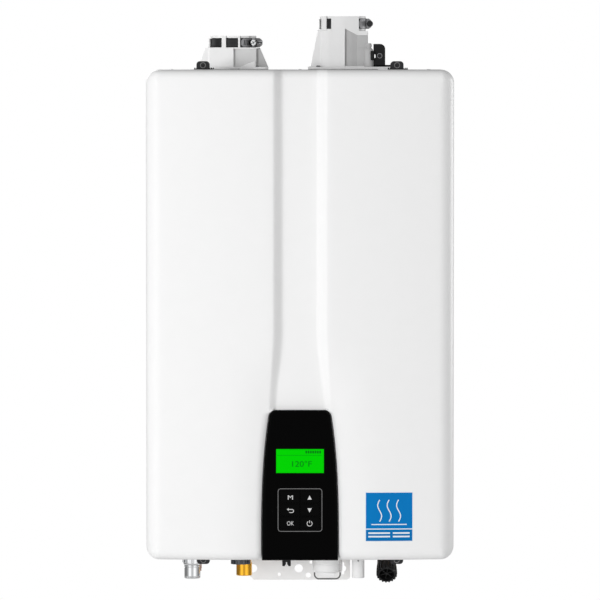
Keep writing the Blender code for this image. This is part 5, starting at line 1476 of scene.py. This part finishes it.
def makeRecirculation():
    r = recirculation
    x, y = spotOf("recirculation")
    end = r["end"]
    radius = r["radius"]
    profile = stub(0.0105) + [(radius, flangeZ), (radius, flangeZ - 0.0155),
                              (radius - 0.0006, flangeZ - 0.0165)]
    profile += threads(radius - 0.0002, flangeZ - 0.0170, end + 0.0020)
    profile += mouth(0.0110, r["bore"], end, r["floor"])
    pieces = flange("recirculation", r["flange"], (0, 120, 240))
    pieces.append(turned(profile, (x, y, 0), steps=56))
    shape = together(*pieces)
    addPiece("recirculationFitting", shape, "copperMetal", stands=["recirculation_fitting"])


gasInlet = {
    "body": 0.0096, "sleeve": 0.01155, "bore": 0.0088, "depth": 0.014, "top": -0.6565, "end": -0.6757,
    "flange": 0.018,
}
drainPlug = {
    "radius": 0.0144, "end": -0.6519, "teeth": 18, "depth": 0.0016, "stem": 0.0055, "hollow": 0.0095,
    "gripHalf": 0.0090,
}


def makeGasInlet():
    g = gasInlet
    x, y = spotOf("gas")
    end = g["end"]
    top = g["top"]
    slim = g["body"]
    radius = g["sleeve"]
    bore = g["bore"]
    floor = end + g["depth"]
    profile = stub(0.0092) + [
        (slim, flangeZ), (slim, top + 0.0040), (slim + 0.0010, top + 0.0034), (slim + 0.0010, top + 0.0006),
        (radius - 0.0006, top + 0.0006), (radius, top), (radius, end + 0.0009), (radius - 0.0007, end),
        (bore, end), (bore, floor), (0, floor),
    ]
    body = turned(profile, (x, y, 0), steps=64)
    pieces = flange("gas", g["flange"], (90, 210, 330)) + [body]
    piece = addPiece("gasInlet", together(*pieces), "brassMetal", stands=["gas_inlet_fitting"])
    piece.visible_shadow = False  # its shadow would darken the drain plug


def makeDrainPlug():
    d = drainPlug
    x, y = spotOf("drain")
    end = d["end"]
    half = d["gripHalf"]
    plug = toothed(x, y, d["radius"], end, seatZ - 0.0003, d["teeth"], d["depth"], 0.0003)
    plug = carved(plug, rod((x, y, end - 0.004), (x, y, end + 0.003), d["hollow"], 40))
    grip = block((x - half, y - 0.0016, end + 0.0002), (x + half, y + 0.0016, end + 0.004), 0.0006)
    stem = rod((x, y, end + 0.002), (x, y, bottomZ + 0.028), d["stem"], 32)
    shape = together(plug, grip, stem)
    node = "drain_plug"
    piece = addPiece("drainPlug", shape, "plugGrey", body=node, stands=[node])
    piece.visible_shadow = False  # its shadow would darken the gas inlet


makeHotOutlet()
makeRecirculation()
makeGasInlet()
makeDrainPlug()


coldInlet = {
    "radius": 0.0115, "bore": 0.0080, "floor": -0.636, "end": -0.6680,
    "tilt": math.radians(56), "forward": 0.0362, "drop": 0.0170, "branch": 0.0088, "hexagon": 0.0106,
    "plateHalf": 0.0185, "plateFront": 0.0462, "screwX": 0.0145, "screwsY": (-0.041, 0.0145),
}
filterKnob = {
    "length": 0.038, "neck": 0.0134, "rim": 0.0152, "ribs": 18, "hollow": 0.0104, "hollowDepth": 0.010,
    "socket": 0.0092, "spokes": (20, 80, 140), "spoke": 0.0118, "hub": 0.0019,
}


def makeColdInlet():
    c = coldInlet
    x, y = spotOf("inlet")
    end = c["end"]
    radius = c["radius"]
    profile = [
        (0, bottomZ + 0.044), (0.0098, bottomZ + 0.044), (radius, bottomZ + 0.042),
        (radius, bottomZ - 0.016),
        (radius - 0.0007, bottomZ - 0.017),
    ]
    profile += threads(radius - 0.0001, bottomZ - 0.0178, end + 0.0018)
    profile += mouth(0.0108, c["bore"], end, c["floor"])
    pieces = [turned(profile, (x, y, 0), steps=56)]
    along = Vector((0, -math.sin(c["tilt"]), -math.cos(c["tilt"])))
    start = Vector((x, y - c["forward"], bottomZ - c["drop"]))
    back = c["forward"] / math.sin(c["tilt"])
    pieces.append(rod(start - along * back, start + along * 0.0042, c["branch"], 40))
    pieces.append(rod(start - along * 0.0050, start - along * 0.0012, c["hexagon"], 6))
    half = c["plateHalf"]
    pieces.append(block((x - half, y - c["plateFront"], flangeZ), (x + half, y + half, seatZ), 0.0008))
    for sideX in (-c["screwX"], c["screwX"]):
        for sideY in c["screwsY"]:
            pieces.append(crossScrew((x + sideX, y + sideY, flangeZ), (0, 0, -1), 0.0024, 0.0012))
    addPiece("coldInlet", together(*pieces), "brassMetal", stands=["cold_water_inlet"])
    return start, along


def makeFilterKnob(start, along):
    k = filterKnob
    length = k["length"]
    neck = k["neck"]
    rim = k["rim"]
    levels = (
        (neck - 0.0012, 0.0, 0.0), (neck, 0.0010, 0.0010), (neck + 0.0002, length * 0.30, 0.0014),
        (neck + (rim - neck) * 0.75, length * 0.58, 0.0016), (rim, length * 0.80, 0.0018),
        (rim, length - 0.0010, 0.0018), (rim - 0.0004, length, 0.0016),
    )
    knob = ribbed(levels, k["ribs"], (0.0, 0.10, 0.42, 0.52, 0.76))
    floor = length - k["hollowDepth"]
    wide = k["hollow"]
    inside = ((wide + 0.0008, length + 0.003), (wide + 0.0006, length - 0.001), (wide - 0.001, floor))
    socket = rod((0, 0, -0.004), (0, 0, 0.0046), k["socket"], 40)
    pieces = [carved(knob, turned(inside, steps=40), socket)]
    reach = k["spoke"]
    outer = wide + 0.0004
    inner = wide - 0.0006
    trim = ((outer, length + 0.002), (outer, length - 0.001), (inner, floor), (inner, floor - 0.004))
    for angle in k["spokes"]:
        spoke = block((-reach, -0.0006, floor - 0.001), (reach, 0.0006, length - 0.0030), 0.0002, 1)
        spoke = moved(spoke, Matrix.Rotation(math.radians(angle), 4, "Z"))
        pieces.append(combined(spoke, "INTERSECT", [turned(trim, steps=40)]))
    pieces.append(rod((0, 0, floor - 0.001), (0, 0, length - 0.0026), k["hub"], 24))
    shape = placed(together(*pieces), start, along)
    node = "filter_knob"
    addPiece("filterKnob", shape, "plasticBlack", body=node, stands=[node])


makeFilterKnob(*makeColdInlet())


outlet = {
    "radius": 0.0091, "wall": 0.0019, "end": -0.6717, "flange": 0.0135, "elbow": 0.0077, "elbowX": 0.0575,
    "elbowZ": -0.570, "screwZ": -0.6462,
}
trap = {
    "body": 0.0168, "neck": 0.0080, "flange": 0.0235, "bottom": -0.6596, "top": -0.4153, "shoulder": -0.5180,
    "screwReach": 0.0203, "hole": 0.0013,
}
trapCap = {
    "radius": 0.0197, "top": -0.6402, "bottom": -0.6634, "chamfer": 0.0024, "groove": 0.0006,
    "grooves": ((-0.6502, -0.6506, -0.6516, -0.6520), (-0.6594, -0.6597, -0.6603, -0.6606)),
    "ribs": 30, "ribLow": -0.6490, "gripHalf": 0.0117, "gripDepth": 0.0038, "gripBottom": -0.6706,
}
bail = {
    "axisZ": -0.6378, "reach": 0.03554, "end": 0.0141, "half": 0.0210, "low": 0.0187, "wire": 0.0010,
    "grip": 0.0011, "bend": 0.0066, "inward": -0.6598, "gripTop": -0.6638,
}


def makeOutlet():
    x, y = spotOf("outlet")
    end = outlet["end"]
    radius = outlet["radius"]
    slim = radius - 0.0003
    bore = radius - outlet["wall"]
    floor = bottomZ - 0.002
    profile = (
        (0, bottomZ + 0.068), (slim, bottomZ + 0.068), (slim, bottomZ - 0.006), (radius, bottomZ - 0.008),
        (radius, end + 0.0006), (radius - 0.0006, end), (bore, end), (bore, floor), (0, floor),
    )
    pieces = flange("outlet", outlet["flange"]) + [turned(profile, (x, y, 0), steps=48)]
    z = outlet["elbowZ"]
    pieces.append(rod((outlet["elbowX"], y, z), (x, y, z), outlet["elbow"], 32))
    shape = together(*pieces)
    addPiece("condensateOutlet", shape, "plasticWhite", stands=["condensate_outlet"])
    dot = crossScrew((x, y - slim, outlet["screwZ"]), (0, -1, 0), 0.0011, 0.0006)
    addPiece("outletScrew", dot, "plasticBlack")


def makeTrap():
    x, y = spotOf("trap")
    body = trap["body"]
    neck = trap["neck"]
    wide = trap["flange"]
    shoulder = trap["shoulder"]
    profile = (
        (0, trap["top"]), (neck, trap["top"]), (neck, shoulder + 0.008), (body, shoulder), (body, seatZ),
        (wide, seatZ), (wide, flangeZ + 0.0005), (wide - 0.0005, flangeZ), (body, flangeZ),
        (body, trap["bottom"]), (0, trap["bottom"]),
    )
    z = bail["axisZ"]
    holes = [rod((x + side * 0.0200, y, z), (x + side * 0.0138, y, z), trap["hole"], 20) for side in (-1, 1)]
    pieces = [carved(turned(profile, (x, y, 0), steps=56), *holes)]
    pieces += flangeScrews(x, y, trap["screwReach"], (45, 135, 225, 315), 0.0017)
    shape = together(*pieces)
    addPiece("condensateTrap", shape, "plasticWhite", stands=["condensate_trap"])


def makeTrapCap():
    x, y = spotOf("trap")
    t = trapCap
    radius = t["radius"]
    slim = radius - t["groove"]
    top = t["top"]
    bottom = t["bottom"]
    inner = trap["body"] + 0.0003
    floor = bottom + 0.0030
    profile = [(inner, floor), (inner, top), (radius - 0.0010, top), (radius, top - 0.0008)]
    for groove in t["grooves"]:
        profile += zip((radius, slim, slim, radius), groove)
    profile += [(radius, bottom + t["chamfer"]), (radius - t["chamfer"], bottom), (0, bottom), (0, floor)]
    pieces = [turned(profile, (x, y, 0), steps=64)]
    for index in range(t["ribs"]):
        rib = block((slim, -0.0007, t["ribLow"]), (radius + 0.0001, 0.0007, top - 0.0015), 0.0002, 1)
        pieces.append(moved(rib, spin(x, y, math.tau * index / t["ribs"])))
    half = t["gripHalf"]
    deep = t["gripDepth"]
    low = t["gripBottom"]
    near = y - deep - 0.0005
    pieces.append(block((x - half, y - deep, low), (x + half, y + deep, bottom + 0.001), 0.0010))
    for side in (-1, 1):
        spot = x + side * (half - 0.0020)
        pieces.append(block((spot - 0.0006, near, low + 0.0018), (spot + 0.0006, y, bottom), 0.0002, 1))
    half -= 0.0014
    pieces.append(block((x - half, near, low + 0.0014), (x + half, y, low + 0.0024), 0.0002, 1))
    addPiece("trapCap", together(*pieces), "plasticWhite", stands=["trap_cap"])


def makeBail():
    x, y = spotOf("trap")
    axis = bail["axisZ"]
    half = bail["half"]
    narrow = bail["low"]
    bend = bail["bend"]
    inward = bail["inward"]
    gripTop = bail["gripTop"]
    centreZ = axis - bail["reach"] + bend
    loop = [(x - narrow, gripTop)]
    loop += arc(x - narrow + bend, centreZ, bend, 180, 270, 12)
    loop += arc(x + narrow - bend, centreZ, bend, 270, 360, 12)
    loop.append((x + narrow, gripTop))
    points = [(bail["end"], axis), (half - 0.0008, axis), (half, axis - 0.0010), (half, inward)]
    for step in range(1, 7):
        share = step / 6
        points.append((half + (narrow - half) * smoothStep(share), inward + (gripTop - inward) * share))
    points.append((narrow, gripTop - 0.0006))
    arms = [tube([(x + side * across, y, z) for across, z in points], bail["wire"], 14) for side in (-1, 1)]
    addPiece("trapBail", together(*arms), "coatedWire", body="trap_bail", stands=["trap_bail"])
    addPiece("bailGrip", tube(upright(loop, y), bail["grip"], 14), "wireGrip", body="trap_bail")


makeOutlet()
makeTrap()
makeTrapCap()
makeBail()


clip = {
    "x": -0.019492, "y": -0.210, "half": 0.00625, "deep": 0.007, "bottom": -0.6487, "margin": 0.0035,
    "notch": 0.0026, "slotHalf": 0.0009, "ribX": 0.0036,
}


def makeClip():
    x = clip["x"]
    y = clip["y"]
    half = clip["half"]
    deep = clip["deep"]
    low = clip["bottom"]
    wide = half + clip["margin"]
    long = deep + clip["margin"]
    shape = block((x - half, y - deep, low), (x + half, y + deep, seatZ), 0.0009)
    base = block((x - wide, y - long, seatZ - 0.002), (x + wide, y + long, seatZ), 0.0007)
    notch = rod((x, y - 0.01, low + 0.0002), (x, y + 0.01, low + 0.0002), clip["notch"], 24)
    thin = clip["slotHalf"]
    slot = block((x - thin, y - 0.01, low - 0.002), (x + thin, y + 0.01, low + 0.006))
    pieces = [carved(shape, notch, slot), base]
    for side in (-1, 1):
        spot = x + side * clip["ribX"]
        start = (spot - 0.0005, y - deep - 0.0004, low + 0.004)
        pieces.append(block(start, (spot + 0.0005, y - deep + 0.001, seatZ - 0.003), 0.0003, 1))
    addPiece("cordClip", together(*pieces), "plasticBlack", stands=["cord_clip"])


makeClip()
print("fittings made")


# Floor, light and camera
studio = {
    "aroundHeights": ((0.0, 0.50), (0.45, 0.46), (0.75, 0.36), (1.0, 0.30)),  # from below to above
    "mirrorAcross": ((0.0, 0.22), (0.05, 0.40), (0.15, 0.95), (0.26, 1.0), (0.38, 0.62), (0.5, 0.42),
                     (0.61, 0.60), (0.74, 1.0), (0.86, 0.92), (0.96, 0.48), (1.0, 0.26)),  # left to right
    "mirrorDepth": ((0.0, 1.0), (0.5, 1.0), (0.62, 0.45), (0.78, 0.30), (1.0, 0.30)),  # from front to back
    "mirrorLevel": 1.3,
    "floorZ": -1.4, "floorHalf": 2,
    "lens": 336.48, "sensor": 36, "camera": (0, -8.31, 0.11), "down": 2.6377,  # the view from the front
}
# Lamps, with their angles in degrees around the heater and up from its middle
lamps = {
    "keyLight": {"azimuth": -25, "elevation": 2.5, "distance": 8.0, "size": 3.0, "level": 0.50, "tall": 1.2},
    "leftLight": {"azimuth": -52, "elevation": 3, "distance": 2.0, "size": 0.9, "level": 0.135},
    "lowLight": {"azimuth": 8, "elevation": -20, "distance": 2.6, "size": 1.5, "level": 0.04},
    "rimLight": {"azimuth": 118, "elevation": 4, "distance": 3.0, "size": 1.4, "level": 0.36},
    "sideLight": {"azimuth": -112, "elevation": 4, "distance": 3.0, "size": 1.4, "level": 0.05},
    "backLight": {"azimuth": 200, "elevation": 20, "distance": 3.2, "size": 1.6, "level": 0.28},
}


def makeStage():
    shape = bmesh.new()
    bmesh.ops.create_grid(shape, x_segments=8, y_segments=8, size=studio["floorHalf"])
    mesh = bpy.data.meshes.new("floor")
    shape.to_mesh(mesh)
    shape.free()
    mesh.materials.append(finishes["floorPale"])
    floor = bpy.data.objects.new("floor", mesh)
    bpy.context.collection.objects.link(floor)
    floor.location = (0, 0, studio["floorZ"])


def makeLight(name, azimuth, elevation, distance, size, level, tall=0):
    turn = math.radians(azimuth)
    rise = math.radians(elevation)
    middle = Vector((0, -0.17, middleZ))
    out = Vector((math.sin(turn) * math.cos(rise), -math.cos(turn) * math.cos(rise), math.sin(rise)))
    data = bpy.data.lights.new(name, "AREA")
    data.shape = "ELLIPSE"
    data.size = size
    data.size_y = tall or size
    data.energy = level * (math.pi * distance) ** 2
    lamp = bpy.data.objects.new(name, data)
    bpy.context.collection.objects.link(lamp)
    lamp.location = middle + out * distance
    lamp.rotation_euler = out.to_track_quat("Z", "Y").to_euler()
    lamp.visible_camera = False
    lamp.visible_glossy = name not in ("keyLight", "leftLight", "lowLight")


def directionRamp(nodes, links, split, axis, stops):
    spread = nodes.new("ShaderNodeMapRange")
    spread.inputs["From Min"].default_value = -1
    spread.inputs["From Max"].default_value = 1
    links.new(split.outputs[axis], spread.inputs["Value"])
    ramp = nodes.new("ShaderNodeValToRGB")
    links.new(spread.outputs["Result"], ramp.inputs["Fac"])
    elements = ramp.color_ramp.elements
    for position, shade in stops[1:-1]:
        elements.new(position).color = (shade, shade, shade, 1)
    first = stops[0][1]
    last = stops[-1][1]
    elements[0].color = (first, first, first, 1)
    elements[len(elements) - 1].color = (last, last, last, 1)
    return ramp.outputs["Color"]


def makeWorld():
    world = bpy.data.worlds.new("studio")
    bpy.context.scene.world = world
    world.use_nodes = True
    nodes = world.node_tree.nodes
    links = world.node_tree.links
    nodes.clear()
    output = nodes.new("ShaderNodeOutputWorld")
    path = nodes.new("ShaderNodeLightPath")
    place = nodes.new("ShaderNodeTexCoord")
    split = nodes.new("ShaderNodeSeparateXYZ")
    links.new(place.outputs["Generated"], split.inputs["Vector"])
    plain = nodes.new("ShaderNodeBackground")
    plain.inputs["Color"].default_value = (1, 1, 1, 1)
    around = nodes.new("ShaderNodeBackground")
    links.new(directionRamp(nodes, links, split, "Z", studio["aroundHeights"]), around.inputs["Color"])
    product = nodes.new("ShaderNodeMix")
    product.data_type = "RGBA"
    product.blend_type = "MULTIPLY"
    product.inputs["Factor"].default_value = 1
    colors = [item for item in product.inputs if item.type == "RGBA"]
    links.new(directionRamp(nodes, links, split, "X", studio["mirrorAcross"]), colors[0])
    links.new(directionRamp(nodes, links, split, "Y", studio["mirrorDepth"]), colors[1])
    mirrored = nodes.new("ShaderNodeBackground")
    links.new([item for item in product.outputs if item.type == "RGBA"][0], mirrored.inputs["Color"])
    mirrored.inputs["Strength"].default_value = studio["mirrorLevel"]
    first = nodes.new("ShaderNodeMixShader")
    links.new(path.outputs["Is Glossy Ray"], first.inputs["Fac"])
    links.new(around.outputs["Background"], first.inputs[1])
    links.new(mirrored.outputs["Background"], first.inputs[2])
    seen = nodes.new("ShaderNodeMath")
    seen.operation = "MAXIMUM"
    links.new(path.outputs["Is Camera Ray"], seen.inputs[0])
    links.new(path.outputs["Is Transmission Ray"], seen.inputs[1])
    second = nodes.new("ShaderNodeMixShader")
    links.new(seen.outputs["Value"], second.inputs["Fac"])
    links.new(first.outputs["Shader"], second.inputs[1])
    links.new(plain.outputs["Background"], second.inputs[2])
    links.new(second.outputs["Shader"], output.inputs["Surface"])


def makeCamera():
    data = bpy.data.cameras.new("camera")
    data.lens = studio["lens"]
    data.sensor_width = studio["sensor"]
    data.clip_start = 0.1
    data.clip_end = 100
    camera = bpy.data.objects.new("camera", data)
    bpy.context.collection.objects.link(camera)
    camera.location = studio["camera"]
    camera.rotation_euler = (math.radians(90 - studio["down"]), 0, 0)
    bpy.context.scene.camera = camera


makeStage()
for name, lamp in lamps.items():
    makeLight(name, **lamp)
makeWorld()
makeCamera()
bpy.context.scene.view_settings.view_transform = "Standard"
print("stage made")
